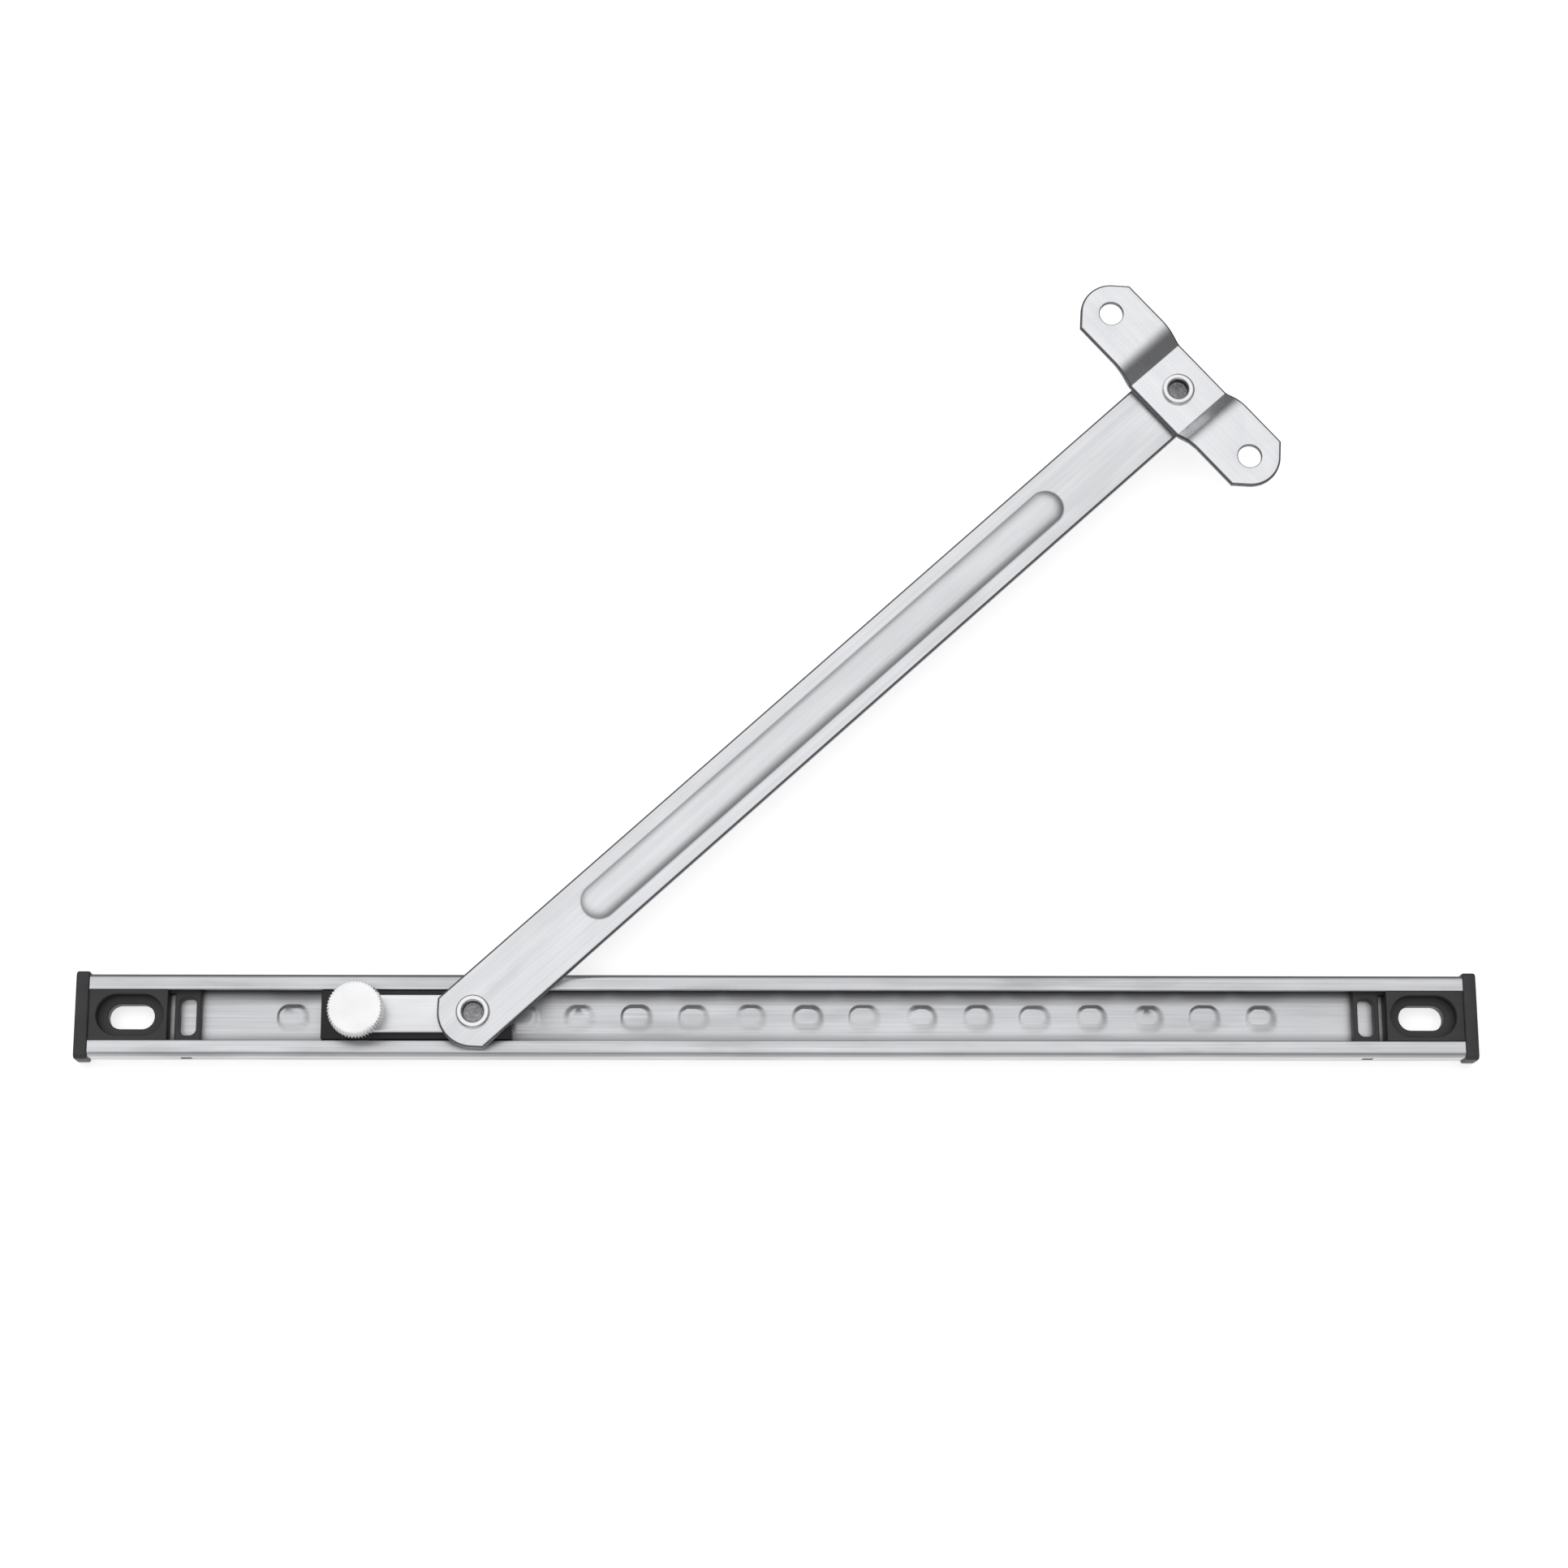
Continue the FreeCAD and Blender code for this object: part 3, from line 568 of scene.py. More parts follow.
class STAY_OT_channel_rail(bpy.types.Operator):
    """Rolled channel with dimples along its floor, end slots and barb holes"""
    bl_idname = "stay.channel_rail"
    bl_label = "Channel rail"

    def execute(self, context):
        sizes = context.scene.stay_rail
        half, side, top = RAIL_HIGH.x, RAIL_HIGH.y, RAIL_HIGH.z
        sheet, inner, mouth = sizes.sheet, side - sizes.sheet, side - sizes.lip
        under = top - sheet
        section = [(-mouth, top), (-side, top), (-side, 0), (side, 0), (side, top), (mouth, top),
                   (mouth, under), (inner, under), (inner, sheet), (-inner, sheet),
                   (-inner, under), (-mouth, under)]
        bm = drawn_section(section, -half, half)
        rows = {side: sizes.bend, inner: sizes.bend - sheet, mouth: 0.25 * sheet}
        for row, radius in rows.items():
            edges = [edge for edge in straight_edges(bm.verts[:], 0)
                     if abs(abs(edge.verts[0].co.y) - row) < SMALL]
            soften(bm, edges, radius, 8 if row == side else 3)

        count = 1 + int((2 * half - 2 * sizes.dimple_end) / sizes.pitch + SMALL)
        centres = [(i - (count - 1) / 2) * sizes.pitch for i in range(count)]
        slot = half - sizes.slot_centre
        barb = half - sizes.barb_centre
        reach = sizes.barb_length / 2
        breaks = [centre - sizes.pitch / 2 for centre in centres] + [centres[-1] + sizes.pitch / 2]
        for sign in (-1, 1):
            breaks += [sign * (slot - 7 * MM), sign * (barb - reach), sign * (barb + reach)]
        cut_across(bm, 0, breaks)
        self.dimples(bm, sizes, centres)
        self.slots(bm, sizes, slot)
        self.barb_holes(bm, sizes, barb)
        finish = brushed_steel("rail_satin_steel", sizes.colour, sizes.roughness, contrast=0.12, cloud=0.06,
                               smudge=0.16)
        # The floor's steel carries painted shade: from 3 mm off the middle line it darkens to 0.12 of its
        # colour at 6.3 mm, in place of the lips' shadow and reflection.
        inside = brushed_steel("rail_floor_steel_painted_shade", sizes.floor_colour, sizes.roughness + 0.04, contrast=0.06,
                               cloud=0.05, smudge=0.1, wall_shade=(3.0 * MM, 6.3 * MM, 0.12))

        def on_floor(face):
            """An upward face of the channel's floor or of its dimples."""
            middle = face.calc_center_bounds()
            return 0.9 * MM < middle.z < 2.2 * MM and abs(middle.y) < inner and face.normal.z > 0.3

        stand_for(bm, "rail_channel", "channel_rail", finish, second=(inside, on_floor))
        return {"FINISHED"}

    def dimples(self, bm, sizes, centres):
        """Raised pads with uneven soft flanks, and the hollows that the press leaves below."""
        blend = sizes.dimple_blend
        for i, centre in enumerate(centres):
            height = sizes.dimple_height * (0.5 + 0.08 * math.sin(i * 2.3))
            left = (1.5 + 0.6 * math.sin(i * 1.9 - 1.2)) * MM
            right = (2.1 + 0.3 * math.sin(i * 2.7)) * MM
            far, near = (1.2 + 0.35 * math.sin(i * 3.1)) * MM, 2.7 * MM
            for z, normal, shrink in ((sizes.sheet, UP, 0), (0, -UP, sizes.sheet / 2)):
                foot = blend - shrink
                length, width = sizes.dimple_length + 2 * foot, sizes.dimple_width + 2 * foot
                corner, rim = sizes.dimple_corner + foot, 0.25 * MM
                loops = [ring(bm, length + 2 * rim, width + 2 * rim, corner + rim, z, centre)]
                for step in range(11):
                    part = step / 10
                    rise = height * part * part * (3 - 2 * part)
                    along, across = part * (left + right), part * (far + near)
                    loops.append(ring(bm, length - along, width - across,
                                      max(corner - part * 1.4 * MM, 0.6 * MM), z + rise,
                                      centre + part * (left - right) / 2, part * (near - far) / 2))
                press(bm, centre, normal, loops)

    def slots(self, bm, sizes, slot):
        """A fixing slot through the floor near each end."""
        for sign in (-1, 1):
            middle = sign * (RAIL_HIGH.x - 0.5 * (RAIL_HIGH.x - slot + 7 * MM))
            x = sign * slot
            loops = [ring(bm, sizes.slot_length, sizes.slot_width, sizes.slot_width / 2, z, x)
                     for z in (sizes.sheet, 0)]
            cut_through(bm, middle, loops)

    def barb_holes(self, bm, sizes, barb):
        """A small window through each side wall for the cap's barb."""
        low, high = sizes.barb_base, sizes.barb_base + sizes.barb_height

        def wall(face):
            """A piece of side wall at a barb's place."""
            middle = face.calc_center_bounds()
            return abs(face.normal.y) > 0.999 and abs(abs(middle.x) - barb) < MM and abs(middle.y) > 7 * MM

        cut_across(bm, 2, (low, high), wall)
        bm.normal_update()
        for sign in (-1, 1):
            for side in (-1, 1):
                hole = []
                for face in bm.faces:
                    middle = face.calc_center_bounds()
                    target = Vector((sign * barb, middle.y, (low + high) / 2))
                    if wall(face) and (middle - target).length < 0.1 * MM and middle.y * side > 0:
                        hole.append(face)
                border = [edge for face in hole for edge in face.edges]
                bmesh.ops.delete(bm, geom=hole, context="FACES_ONLY")
                bmesh.ops.bridge_loops(bm, edges=border)


class STAY_OT_end_caps(bpy.types.Operator):
    """Moulded plugs with a flange, a recessed slot and a windowed snap tongue"""
    bl_idname = "stay.end_caps"
    bl_label = "End caps"

    def execute(self, context):
        sizes = context.scene.stay_cap
        finish = moulded_nylon("cap_charcoal_nylon", sizes.colour, sizes.roughness)
        for node, sign in (("end_cap_right", 1), ("end_cap_left", -1)):
            bm = self.cap(context, sizes)
            if sign < 0:
                bmesh.ops.scale(bm, vec=(-1, 1, 1), verts=bm.verts[:])
            stand_for(bm, node.replace("end_cap", "cap"), node, finish)
        return {"FINISHED"}

    def cap(self, context, sizes):
        """The right-hand cap."""
        rail = context.scene.stay_rail
        end, edge = CAP_HIGH.x - sizes.flange, sizes.edge
        floor, top = rail.sheet, RAIL_HIGH.z
        narrow = RAIL_HIGH.y - rail.lip - CAP_GAP
        wide = RAIL_HIGH.y - rail.sheet - CAP_GAP
        slot = end - rail.slot_centre
        slot_length, slot_width = rail.slot_length - 0.2 * MM, rail.slot_width - 0.2 * MM
        recess_width = 2 * (narrow - sizes.recess_wall)
        recess_length = slot_length - slot_width + recess_width + sizes.recess_stretch
        back = slot - recess_length / 2 - sizes.recess_wall
        start = back - sizes.relief_gap
        tip = start - 2 * sizes.bar - sizes.window
        foot = top - rail.sheet - CAP_GAP
        tongue = foot - sizes.tongue_drop
        bm = bmesh.new()

        flange = block(bm, (end, CAP_LOW.y, 0), (CAP_HIGH.x, CAP_HIGH.y, CAP_HIGH.z))
        soften(bm, straight_edges(flange, 0), 1.1 * MM, 6)
        bmesh.ops.recalc_face_normals(bm, faces=bm.faces[:])
        soften(bm, sharp_edges(bm, 1.0), 0.45 * MM, 3)

        body = bmesh.new()
        block(body, (back, -narrow, floor), (end, narrow, top))
        soften(body, straight_edges(body.verts[:], 1) + straight_edges(body.verts[:], 2), edge * 0.6, 2)
        bmesh.ops.recalc_face_normals(body, faces=body.faces[:])
        ledge = top - sizes.recess_depth
        recess = [(recess_length + edge, recess_width + edge, top),
                  (recess_length, recess_width, top - edge / 2),
                  (recess_length, recess_width, ledge + edge / 2),
                  (recess_length - edge, recess_width - edge, ledge),
                  (slot_length + edge, slot_width + edge, ledge),
                  (slot_length, slot_width, ledge - edge / 2), (slot_length, slot_width, floor)]
        loops = [ring(body, length, width, width / 2, z, slot) for length, width, z in recess]
        cut_through(body, (back + end) / 2, loops)

        plate = bmesh.new()
        middle = (tip + start) / 2
        block(plate, (tip, -wide, floor), (start, wide, tongue))
        soften(plate, straight_edges(plate.verts[:], 1), edge * 0.7, 2)
        bmesh.ops.recalc_face_normals(plate, faces=plate.faces[:])
        window = 2 * (narrow - sizes.window_wall)
        round_end = sizes.window * 0.4
        loops = [ring(plate, sizes.window + grow, window + grow, round_end + grow / 2, z, middle)
                 for z, grow in ((tongue, edge), (tongue - edge / 2, 0), (floor, 0))]
        cut_through(plate, middle, loops)

        for side in (-1, 1):
            lower, upper = sorted((side * (narrow - 0.3 * MM), side * wide))
            block(plate, (start - 0.1 * MM, lower, floor), (back + 0.1 * MM, upper, tongue))
            lower, upper = sorted((side * (narrow - 0.1 * MM), side * wide))
            block(plate, (back, lower, floor), (end, upper, foot))
            barb = rail.barb_length / 2 - 0.15 * MM
            lower, upper = sorted((side * (wide - 0.2 * MM), side * (wide + 0.75 * MM)))
            base = rail.barb_base + 0.15 * MM
            nib = block(plate, (end - rail.barb_centre - barb, lower, base),
                        (end - rail.barb_centre + barb, upper, min(base + 1.7 * MM, tongue)))
            soften(plate, straight_edges(nib, 2), 0.3 * MM, 2)
        for extra in (body, plate):
            spare = bpy.data.meshes.new("spare")
            extra.to_mesh(spare)
            extra.free()
            bm.from_mesh(spare)
            bpy.data.meshes.remove(spare)
        return bm


class STAY_OT_slider(bpy.types.Operator):
    """Acetal block that runs in the channel, with its steel strap on top"""
    bl_idname = "stay.slider"
    bl_label = "Slider block and strap"

    def execute(self, context):
        sizes = context.scene.stay_slider
        rail = context.scene.stay_rail
        self.block(sizes, rail)
        self.strap(sizes)
        return {"FINISHED"}

    def block(self, sizes, rail):
        """An inverted T section with a groove for the dimples, along the block's length."""
        feet, rib = BLOCK_HIGH.y, RAIL_HIGH.y - rail.lip - RUN_GAP
        base, top = BLOCK_LOW.z, BLOCK_HIGH.z
        shelf = RAIL_HIGH.z - rail.sheet - RUN_GAP
        groove, roof = rail.dimple_width / 2 + 0.6 * MM, rail.sheet + rail.dimple_height + 0.6 * MM
        section = [(-feet, base), (-groove, base), (-groove, roof), (groove, roof), (groove, base),
                   (feet, base), (feet, shelf), (rib, shelf), (rib, top), (-rib, top), (-rib, shelf),
                   (-feet, shelf)]
        bm = drawn_section(section, BLOCK_LOW.x, BLOCK_HIGH.x)
        soften(bm, [edge for edge in sharp_edges(bm, 1.0) if edge.is_convex], sizes.edge, 2)
        finish = moulded_nylon("slider_black_acetal", sizes.colour, 0.42, contrast=0.3)
        stand_for(bm, "slide_block", "slider_block", finish)

    def strap(self, sizes):
        """A round-ended steel strip from the stud to the arm's pivot."""
        width = STRAP_HIGH.y - STRAP_LOW.y
        length = STRAP_HIGH.x - STRAP_LOW.x
        middle = (STRAP_HIGH.x + STRAP_LOW.x) / 2
        low, high, edge = STRAP_LOW.z, STRAP_HIGH.z, sizes.strap_edge
        bm = bmesh.new()
        steps = [(2 * edge, low), (0.6 * edge, low + 0.3 * edge), (0, low + edge), (0, high - edge),
                 (0.6 * edge, high - 0.3 * edge), (2 * edge, high), (4 * edge, high)]
        loops = [ring(bm, length - inset, width - inset, (width - inset) / 2, z, middle, steps=96)
                 for inset, z in steps]
        closed_loft(bm, loops)
        finish = brushed_steel("strap_bright_steel", sizes.strap_colour, 0.3, contrast=0.04, cloud=0.07)
        stand_for(bm, "top_strap", "slider_strap", finish, second=(sheared_steel("strap"), is_sheared))


class STAY_OT_lock(bpy.types.Operator):
    """Toothed lock knob with its threaded stud and the clamp nut below"""
    bl_idname = "stay.lock"
    bl_label = "Lock knob, stud and nut"

    def execute(self, context):
        sizes = context.scene.stay_knob
        self.knob(sizes)
        self.stud(sizes)
        self.nut(sizes)
        return {"FINISHED"}

    def knob(self, sizes):
        """Loops of the same count from the neck up to the crown; the rim's loops carry the teeth."""
        bm = bmesh.new()
        radius = (KNOB_HIGH.x - KNOB_LOW.x) / 2
        top, under = KNOB_HIGH.z, KNOB_HIGH.z - sizes.head
        neck, edge = sizes.neck / 2, sizes.edge
        count = sizes.teeth * 4
        steps = [(neck, KNOB_LOW.z, 0), (neck, under, 0), (neck + 0.2 * MM, under, 0),
                 (radius - 0.9 * MM, under, 0), (radius - 0.45 * MM, under + 0.15 * MM, 0.2),
                 (radius, under + 0.6 * MM, 1), (radius, top - edge - 0.35 * MM, 1),
                 (radius - 0.05 * MM, top - edge, 1),
                 (radius - 0.15 * edge - 0.05 * MM, top - 0.5 * edge, 0.85),
                 (radius - 0.5 * edge, top - 0.15 * edge, 0.45), (radius - edge, top - 0.02 * edge, 0.1),
                 (radius - 1.4 * edge, top, 0), (radius - 2 * edge, top, 0)]
        loops = []
        for reach, z, share_of in steps:
            made = bmesh.ops.create_circle(bm, cap_ends=False, radius=reach, segments=count)["verts"]
            for i, vert in enumerate(made):
                deep = (0, 0.5, 1, 0.5)[i % 4] * sizes.tooth * share_of
                vert.co.xy *= (reach - deep) / reach
                vert.co.z = z
            loops.append(loop_of(set(made)))
        closed_loft(bm, loops)
        bmesh.ops.translate(bm, verts=bm.verts[:], vec=(KNOB_AXIS.x, KNOB_AXIS.y, 0))
        finish = plated_metal("knob_pearl_nickel", sizes.colour, 0.36, contrast=0.02)
        stand_for(bm, "toothed_knob", "lock_knob", finish, crease=28.0)

    def stud(self, sizes):
        """A rod with a coarse single-start thread, chamfered at its lower end."""
        radius = (STUD_HIGH.x - STUD_LOW.x) / 2
        pitch, deep = sizes.pitch, sizes.thread
        profile = [(0, STUD_LOW.z), (radius - deep, STUD_LOW.z)]
        z = STUD_LOW.z + 0.3 * MM
        while z < STUD_HIGH.z - pitch:
            profile += [(radius - deep, z), (radius, z + 0.3 * pitch), (radius, z + 0.45 * pitch),
                        (radius - deep, z + 0.8 * pitch)]
            z += pitch
        profile += [(radius - deep, STUD_HIGH.z), (0, STUD_HIGH.z)]
        bm = bmesh.new()
        turned(bm, profile, KNOB_AXIS.x, KNOB_AXIS.y, 40)
        finish = plated_metal("stud_zinc_plate", (0.62, 0.63, 0.65), 0.35, contrast=0.08)
        stand_for(bm, "threaded_stud", "lock_stud", finish)

    def nut(self, sizes):
        """A flat bar with a hole for the stud."""
        bm = bmesh.new()
        block(bm, NUT_LOW, NUT_HIGH)
        soften(bm, bm.edges[:], 0.25 * MM, 2)
        bmesh.ops.recalc_face_normals(bm, faces=bm.faces[:])
        loops = [circle(bm, sizes.nut_hole, z, KNOB_AXIS.x) for z in (NUT_HIGH.z, NUT_LOW.z)]
        cut_through(bm, (NUT_LOW.x + NUT_HIGH.x) / 2, loops)
        finish = plated_metal("nut_zinc_plate", (0.6, 0.61, 0.63), 0.4, contrast=0.1)
        stand_for(bm, "clamp_bar", "clamp_nut", finish)


class STAY_OT_detent(bpy.types.Operator):
    """Bowed leaf under the block that clicks over the dimples"""
    bl_idname = "stay.detent"
    bl_label = "Detent spring"

    def execute(self, context):
        low, high = SPRING_LOW, SPRING_HIGH
        sheet = 0.3 * MM
        bow = high.z - low.z - sheet
        middle = (low.x + high.x) / 2
        bm = bmesh.new()
        block(bm, (low.x, low.y, high.z - sheet), (high.x, high.y, high.z))
        steps = 16
        cut_across(bm, 0, [low.x + (high.x - low.x) * i / steps for i in range(1, steps)])
        reach = (high.x - low.x) / 2
        for vert in bm.verts:
            vert.co.z -= bow * (1 - ((vert.co.x - middle) / reach) ** 2)
        finish = brushed_steel("spring_strip_steel", (0.55, 0.56, 0.58), 0.3)
        stand_for(bm, "detent_leaf", "detent_spring", finish)
        return {"FINISHED"}


class STAY_OT_rivets(bpy.types.Operator):
    """Semi-tubular rivets and friction washers at both pivots"""
    bl_idname = "stay.rivets"
    bl_label = "Rivets and washers"

    def execute(self, context):
        sizes = context.scene.stay_rivet
        finish = plated_metal("rivet_bright_plate", sizes.colour, 0.24, contrast=0.05)
        # Painted shade: the wall and floor of each blind bore get a dark grey, strongly mottled colour in
        # place of the shade inside the hollow.
        hollow = plated_metal("rivet_bore_painted_shade", (0.36, 0.36, 0.37), 0.38, speck=0.0005, contrast=0.5)
        for node, name, axis in (("pivot_rivet", "rivet_slider", ARM_PIVOT),
                                 ("bracket_rivet", "rivet_bracket", SASH_PIVOT)):
            bm = bmesh.new()
            low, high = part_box(node)
            turned(bm, self.section(sizes, low, high), axis.x, axis.y)
            bmesh.ops.recalc_face_normals(bm, faces=bm.faces[:])
            mouth, reach = high.z - 0.3 * MM, sizes.bore / 2 + 0.02 * MM

            def in_bore(face):
                """A face on the wall or the floor of the blind bore, which takes the painted shade."""
                middle = face.calc_center_median()
                return mouth - sizes.depth < middle.z < mouth and (middle.xy - axis.xy).length < reach

            stand_for(bm, name, node, finish, crease=50.0, second=(hollow, in_bore))
        nylon = moulded_nylon("washer_grey_nylon", (0.03, 0.03, 0.032), 0.5)
        for node, name, axis, bore in (("arm_pivot_washer", "washer_slider", ARM_PIVOT, 5.8 * MM),
                                       ("bracket_washer", "washer_bracket", SASH_PIVOT, 5.9 * MM)):
            low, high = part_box(node)
            rim, hole, edge = (high.x - low.x) / 2, bore / 2, 0.08 * MM
            profile = [(hole, low.z), (rim - edge, low.z), (rim, low.z + edge), (rim, high.z - edge),
                       (rim - edge, high.z), (hole, high.z), (hole, low.z)]
            bm = bmesh.new()
            turned(bm, profile, axis.x, axis.y)
            stand_for(bm, name, node, nylon)
        return {"FINISHED"}

    def section(self, sizes, low, high):
        """Half section: lower head, shank, rolled ring and blind bore."""
        head = (high.x - low.x) / 2
        base, top, shank, bore = low.z, high.z, sizes.shank / 2, sizes.bore / 2
        foot, rim = top - sizes.ring_height, sizes.ring / 2
        lip, floor = (rim - bore) / 2, top - sizes.depth
        crown = (rim + bore) / 2
        profile = [(0, base), (head - 0.5 * MM, base), (head - 0.15 * MM, base + 0.12 * MM),
                   (head, base + 0.4 * MM), (head, base + sizes.head_height - 0.1 * MM),
                   (head - 0.1 * MM, base + sizes.head_height), (shank, base + sizes.head_height),
                   (shank, foot), (rim - 0.1 * MM, foot), (rim, foot + 0.12 * MM)]
        start = top - lip * 0.62
        for i in range(9):
            turn = math.pi * i / 8
            profile.append((crown + lip * math.cos(turn), start + lip * 0.62 * math.sin(turn)))
        profile += [(bore, floor + 0.35 * MM), (bore - 0.12 * MM, floor + 0.1 * MM),
                    (bore - 0.4 * MM, floor + 0.03 * MM), (0.5 * MM, floor + 0.18 * MM),
                    (0, floor + 0.2 * MM)]
        return profile


class STAY_OT_arm(bpy.types.Operator):
    """Flat arm with clipped round ends and a long pressed bead"""
    bl_idname = "stay.arm"
    bl_label = "Stay arm"

    def execute(self, context):
        sizes = context.scene.stay_arm
        length = ARM_RUN.length
        low = ARM_LOW.z
        high = low + sizes.sheet
        bm = bmesh.new()
        clipped_slab(bm, length, sizes.width, sizes.nose, low, high)
        soften(bm, sharp_edges(bm, 1.4), sizes.edge, 4, second=True)
        first = sizes.bead_start - length / 2
        last = length / 2 - sizes.bead_end
        cut_across(bm, 0, (first - 3 * MM, last + 3 * MM))
        middle = (first + last) / 2
        rise = ARM_HIGH.z - high
        for z, normal, shrink in ((high, UP, 0.0), (low, -UP, 0.5 * MM)):
            width = sizes.bead_width - 2 * shrink
            loops = [ring(bm, last - first - 2 * shrink + 0.6 * MM, width + 0.6 * MM, width / 2 + 0.3 * MM,
                          z, middle, steps=64)]
            for i in range(12):
                inset = width / 2 * (i / 12) ** 1.1
                lift = rise * (1 - (1 - 2 * inset / width) ** 2.8)
                loops.append(ring(bm, last - first - 2 * shrink - 2 * inset, width - 2 * inset,
                                  width / 2 - inset, z + lift, middle, steps=64))
            press(bm, middle, normal, loops)
        for sign in (-1, 1):
            x = sign * length / 2
            loops = [circle(bm, sizes.hole, z, x) for z in (high, low)]
            cut_through(bm, x - sign * 12 * MM, loops)
        place = Matrix.Translation(((ARM_PIVOT.x + SASH_PIVOT.x) / 2, (ARM_PIVOT.y + SASH_PIVOT.y) / 2, 0))
        place = place @ Matrix.Rotation(ARM_ANGLE, 4, "Z")
        finish = brushed_steel("arm_satin_steel", sizes.colour, sizes.roughness, turn=ARM_ANGLE,
                               centre=ARM_PIVOT, contrast=0.05, cloud=0.04, smudge=0.06)
        stand_for(bm, "pressed_arm", "stay_arm", finish, place=place,
                  second=(sheared_steel("arm"), is_sheared))
        return {"FINISHED"}


class STAY_OT_bracket(bpy.types.Operator):
    """Sash plate with a flat seat, two ramps and two drilled ears"""
    bl_idname = "stay.bracket"
    bl_label = "Sash bracket"

    def execute(self, context):
        sizes = context.scene.stay_bracket
        low, sheet = BRACKET_LOW.z, sizes.sheet
        rise = BRACKET_HIGH.z - low - sheet
        seat, ear = sizes.seat / 2, sizes.seat / 2 + sizes.ramp
        slope = math.atan2(rise, sizes.ramp)
        shift = sheet * math.tan(slope / 2)
        bm = bmesh.new()
        clipped_slab(bm, sizes.spacing, sizes.width, sizes.nose, low, low + sheet)
        cut_across(bm, 0, (-ear, -seat, seat, ear))
        for vert in bm.verts:
            reach = abs(vert.co.x)
            upper = vert.co.z > low + sheet / 2
            if reach > ear - SMALL:
                vert.co.z += rise
            if upper and reach < ear + SMALL and reach > seat - SMALL:
                vert.co.x -= math.copysign(shift, vert.co.x)
        bm.normal_update()
        bends = [edge for edge in sharp_edges(bm, 0.5 * slope)
                 if abs(edge.verts[0].co.x - edge.verts[1].co.x) < SMALL
                 and abs(edge.verts[0].co.z - edge.verts[1].co.z) < SMALL
                 and abs(edge.verts[0].co.x) < ear + SMALL]
        half_way = (seat + ear) / 2
        groups = {}
        for edge in bends:
            at_ear = abs(edge.verts[0].co.x) > half_way
            radius = (sizes.ear_bend if at_ear else sizes.bend) + (sheet if edge.is_convex else 0)
            groups.setdefault(radius, []).append(edge)
        for radius, edges in groups.items():
            soften(bm, edges, radius * math.tan(slope / 2), 8)
        soften(bm, sharp_edges(bm, 1.2), sizes.edge, 4, second=True, clamp=False)
        for x in (-sizes.spacing / 2, sizes.spacing / 2):
            near = math.copysign((ear + sizes.spacing / 2 + sizes.nose) / 2, x)
            top, edge = low + rise + sheet, sizes.hole_edge
            turns = [math.radians(turn) for turn in (0, 25, 50, 75, 90)]
            steps = [(2 * edge * (1 - math.sin(turn)), edge * (1 - math.cos(turn))) for turn in turns]
            loops = [circle(bm, sizes.hole + grow, top - drop, x) for grow, drop in steps]
            loops += [circle(bm, sizes.hole + grow, top - sheet + drop, x) for grow, drop in reversed(steps)]
            cut_through(bm, near, loops)
        loops = [circle(bm, sizes.pivot_hole, z) for z in (low + sheet, low)]
        cut_through(bm, 0, loops)
        place = Matrix.Translation((SASH_PIVOT.x, SASH_PIVOT.y, 0)) @ Matrix.Rotation(BRACKET_ANGLE, 4, "Z")
        finish = brushed_steel("bracket_satin_steel", sizes.colour, sizes.roughness, turn=BRACKET_ANGLE,
                               centre=SASH_PIVOT, contrast=0.03, cloud=0.03)
        stand_for(bm, "sash_plate", "sash_bracket", finish, place=place,
                  second=(sheared_steel("bracket"), is_sheared))
        return {"FINISHED"}


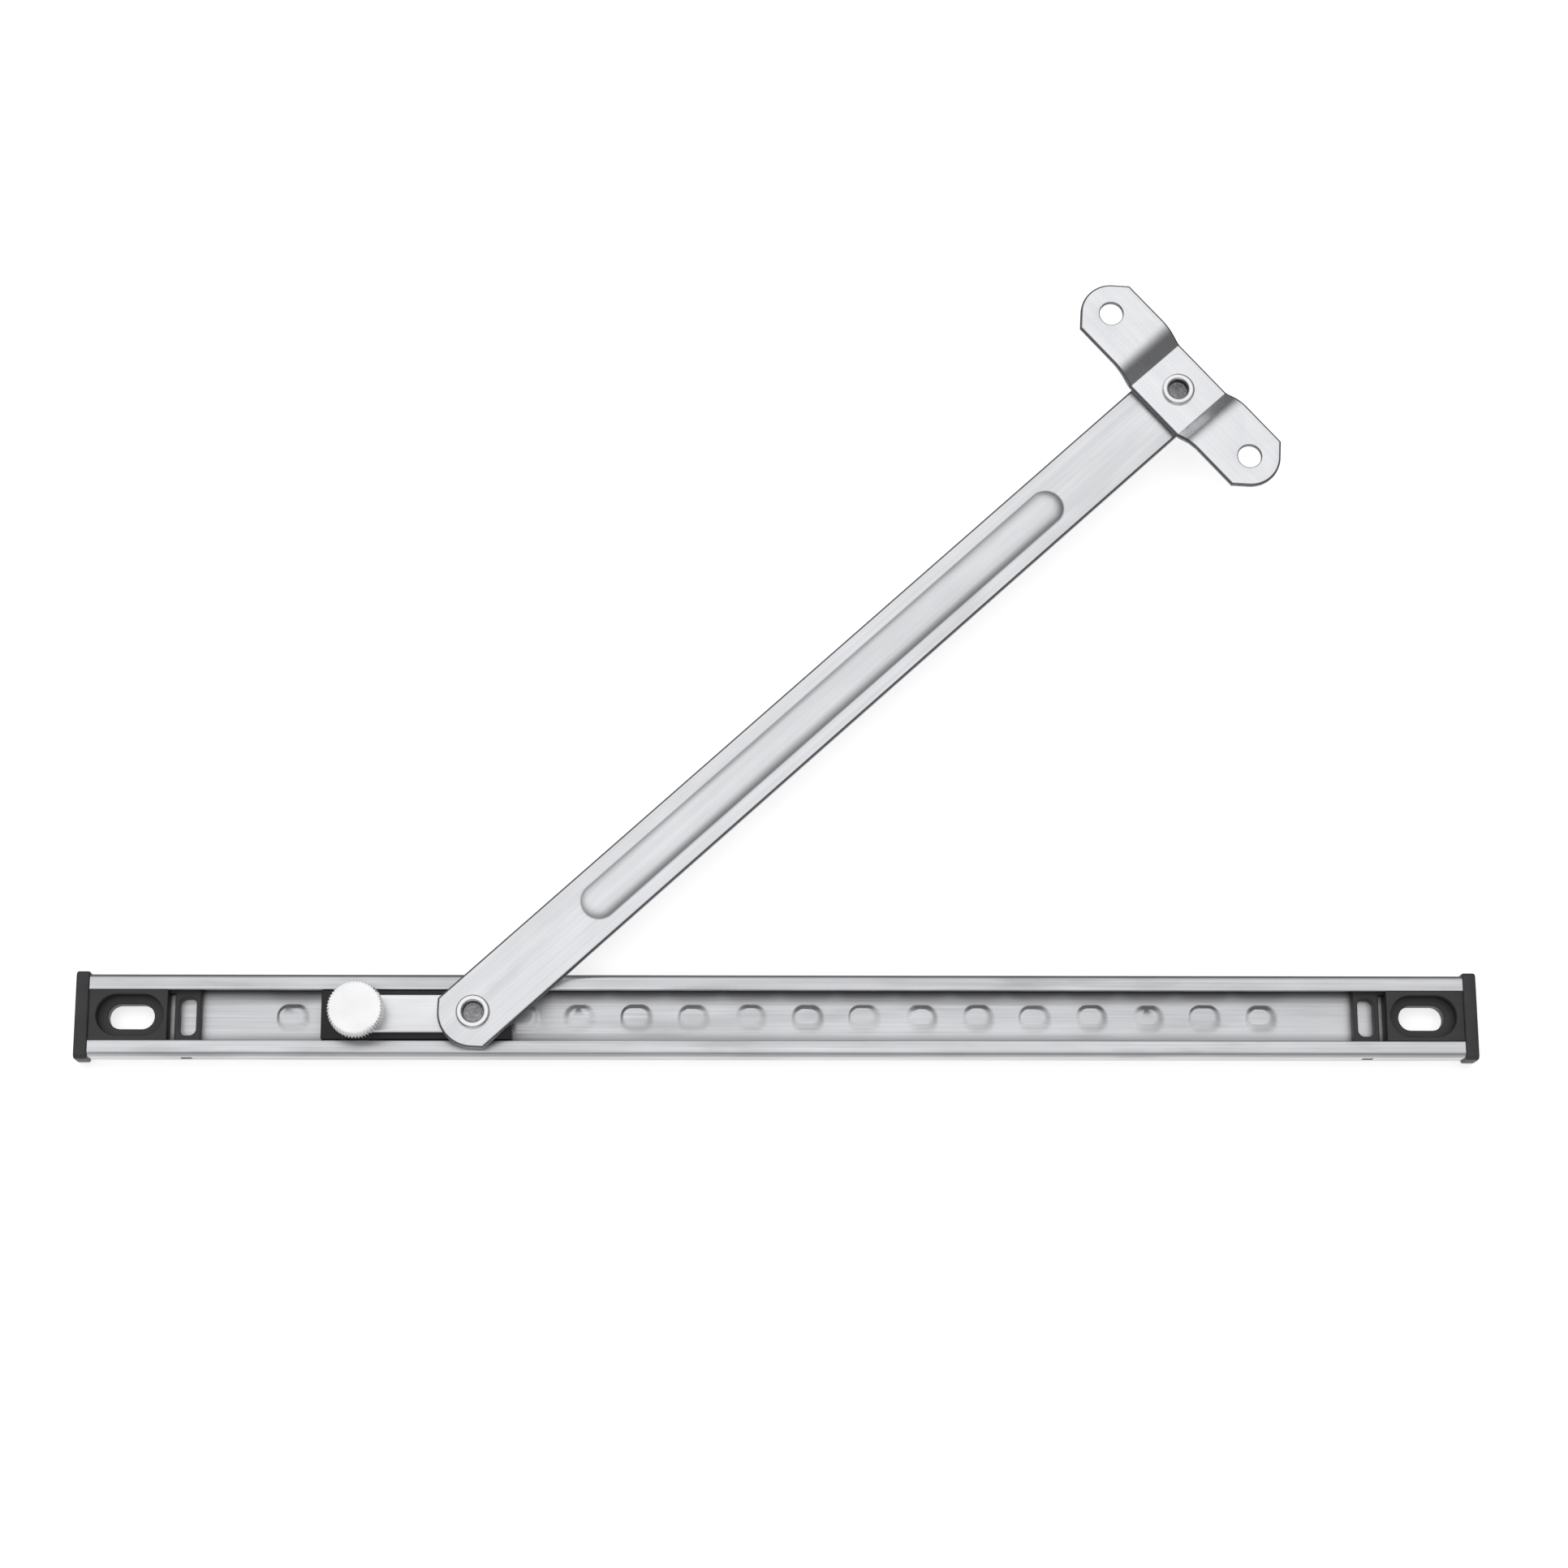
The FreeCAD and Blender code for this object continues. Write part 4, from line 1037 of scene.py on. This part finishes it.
class STAY_OT_stage(bpy.types.Operator):
    """Pale floor, soft studio light and the camera"""
    bl_idname = "stay.stage"
    bl_label = "Floor, light and camera"

    def execute(self, context):
        sizes = context.scene.stay_stage
        self.floor(context, sizes)
        self.sky(context, sizes)
        self.lamp(context)
        self.camera(context, sizes)
        context.scene.view_settings.view_transform = "Standard"
        return {"FINISHED"}

    def floor(self, context, sizes):
        """A plain matt floor that the rail lies on."""
        bm = bmesh.new()
        bmesh.ops.create_grid(bm, x_segments=1, y_segments=1, size=6.0,
                              matrix=Matrix.Translation((0, 0, -0.02 * MM)))
        mesh = bpy.data.meshes.new("floor")
        bm.to_mesh(mesh)
        bm.free()
        floor = bpy.data.objects.new("floor", mesh)
        context.scene.collection.objects.link(floor)
        finish, tree, shader = finish_nodes("floor_matt_white")
        join(tree, shader, {"Base Color": (*sizes.floor, 1), "Roughness": 0.9, "Specular IOR Level": 0.0,
                            "Emission Color": (1, 1, 1, 1), "Emission Strength": sizes.glow})
        mesh.materials.append(finish)
        floor.visible_glossy = False

    def sky(self, context, sizes):
        """A studio dome, dim at the sides, with a soft box in front and a white backdrop."""
        world = bpy.data.worlds.new("studio")
        context.scene.world = world
        world.use_nodes = True
        tree = world.node_tree
        around = add_node(tree, "TexCoord", {}).outputs["Generated"]
        toward = add_node(tree, "VectorMath", {0: around, 1: BRIGHT_SIDE.normalized()},
                          operation="DOT_PRODUCT")
        height = spread(tree, toward.outputs["Value"], 0.0, 1.0, -1.0, 1.0)
        ramp = add_node(tree, "ValToRGB", {"Fac": height})
        stops = ((0.0, 1.0), (0.12, 0.8), (0.32, sizes.horizon), (0.61, sizes.horizon), (0.72, 0.17),
                 (0.81, 0.36), (0.87, 0.64), (0.92, 0.92), (0.975, 1.0))
        line = ramp.color_ramp.elements
        while len(line) < len(stops):
            line.new(0.5)
        for stop, (position, value) in zip(line, stops):
            stop.position = position
            stop.color = (value, value, value * 1.01, 1)
        front = add_node(tree, "VectorMath", {0: around, 1: (0, -1, 0)}, operation="DOT_PRODUCT")
        soft_box = spread(tree, front.outputs["Value"], 0.0, 0.62, 0.72, 0.92)
        both = add_node(tree, "VectorMath", {0: ramp.outputs["Color"], 1: soft_box}, operation="MAXIMUM")
        dome = tree.nodes["Background"]
        join(tree, dome, {"Color": both.outputs["Vector"], "Strength": sizes.zenith})
        backdrop = add_node(tree, "Background", {"Strength": 1.1})
        path = add_node(tree, "LightPath", {})
        either = add_node(tree, "MixShader", {"Fac": path.outputs["Is Camera Ray"],
                                              1: dome.outputs["Background"],
                                              2: backdrop.outputs["Background"]})
        join(tree, tree.nodes["World Output"], {"Surface": either.outputs["Shader"]})

    def lamp(self, context):
        """A soft box high on the upper left."""
        data = bpy.data.lights.new("soft_box", "AREA")
        data.shape = "DISK"
        data.size = 0.5
        data.energy = 0.6
        lamp = bpy.data.objects.new("soft_box", data)
        lamp.visible_glossy = False
        lamp.location = (-0.45, 0.5, 0.75)
        lamp.rotation_euler = (Vector((0, 0.06, 0)) - lamp.location).to_track_quat("-Z", "Y").to_euler()
        context.scene.collection.objects.link(lamp)

    def camera(self, context, sizes):
        """A long lens that looks down on the stay from the rail's near side."""
        lean, pan, roll = sizes.tilt, sizes.pan, sizes.roll
        back = Vector((math.sin(pan) * math.cos(lean), -math.sin(lean), math.cos(lean) * math.cos(pan)))
        back.normalize()
        right = Vector((0, 1, 0)).cross(back).normalized()
        upright = back.cross(right)
        right, upright = (math.cos(roll) * right + math.sin(roll) * upright,
                          -math.sin(roll) * right + math.cos(roll) * upright)
        data = bpy.data.cameras.new("camera")
        data.lens = sizes.lens
        data.sensor_width = 36
        data.clip_start, data.clip_end = 0.01, 20
        camera = bpy.data.objects.new("camera", data)
        turn = Matrix((right, upright, back)).transposed().to_4x4()
        camera.matrix_world = Matrix.Translation(LOOK_AT + back * sizes.distance) @ turn
        context.scene.collection.objects.link(camera)
        context.scene.camera = camera


SETTINGS = {"stay_rail": RailSettings, "stay_cap": CapSettings, "stay_slider": SliderSettings,
            "stay_knob": KnobSettings, "stay_rivet": RivetSettings, "stay_arm": ArmSettings,
            "stay_bracket": BracketSettings, "stay_stage": StageSettings}
PIECES = (STAY_OT_stage, STAY_OT_channel_rail, STAY_OT_end_caps, STAY_OT_slider, STAY_OT_lock,
          STAY_OT_detent, STAY_OT_rivets, STAY_OT_arm, STAY_OT_bracket)


class VIEW3D_PT_stay(bpy.types.Panel):
    """Buttons and sizes for the stay's pieces"""
    bl_label = "Friction stay hinge"
    bl_idname = "VIEW3D_PT_stay"
    bl_space_type = "VIEW_3D"
    bl_region_type = "UI"
    bl_category = "Stay"

    def draw(self, context):
        for piece in PIECES:
            self.layout.operator(piece.bl_idname)
        for name, group in SETTINGS.items():
            box = self.layout.box()
            for key in group.__annotations__:
                box.prop(getattr(context.scene, name), key)


def register():
    """Makes the settings, operators and panel known to Blender."""
    for name, group in SETTINGS.items():
        bpy.utils.register_class(group)
        setattr(bpy.types.Scene, name, bpy.props.PointerProperty(type=group))
    for piece in (*PIECES, VIEW3D_PT_stay):
        bpy.utils.register_class(piece)


def unregister():
    """Takes them away again."""
    for piece in reversed((*PIECES, VIEW3D_PT_stay)):
        bpy.utils.unregister_class(piece)
    for name, group in reversed(SETTINGS.items()):
        delattr(bpy.types.Scene, name)
        bpy.utils.unregister_class(group)


def main():
    """Builds every piece and the stage."""
    register()
    for piece in PIECES:
        group, name = piece.bl_idname.split(".")
        getattr(getattr(bpy.ops, group), name)()


if __name__ == "__main__":
    main()
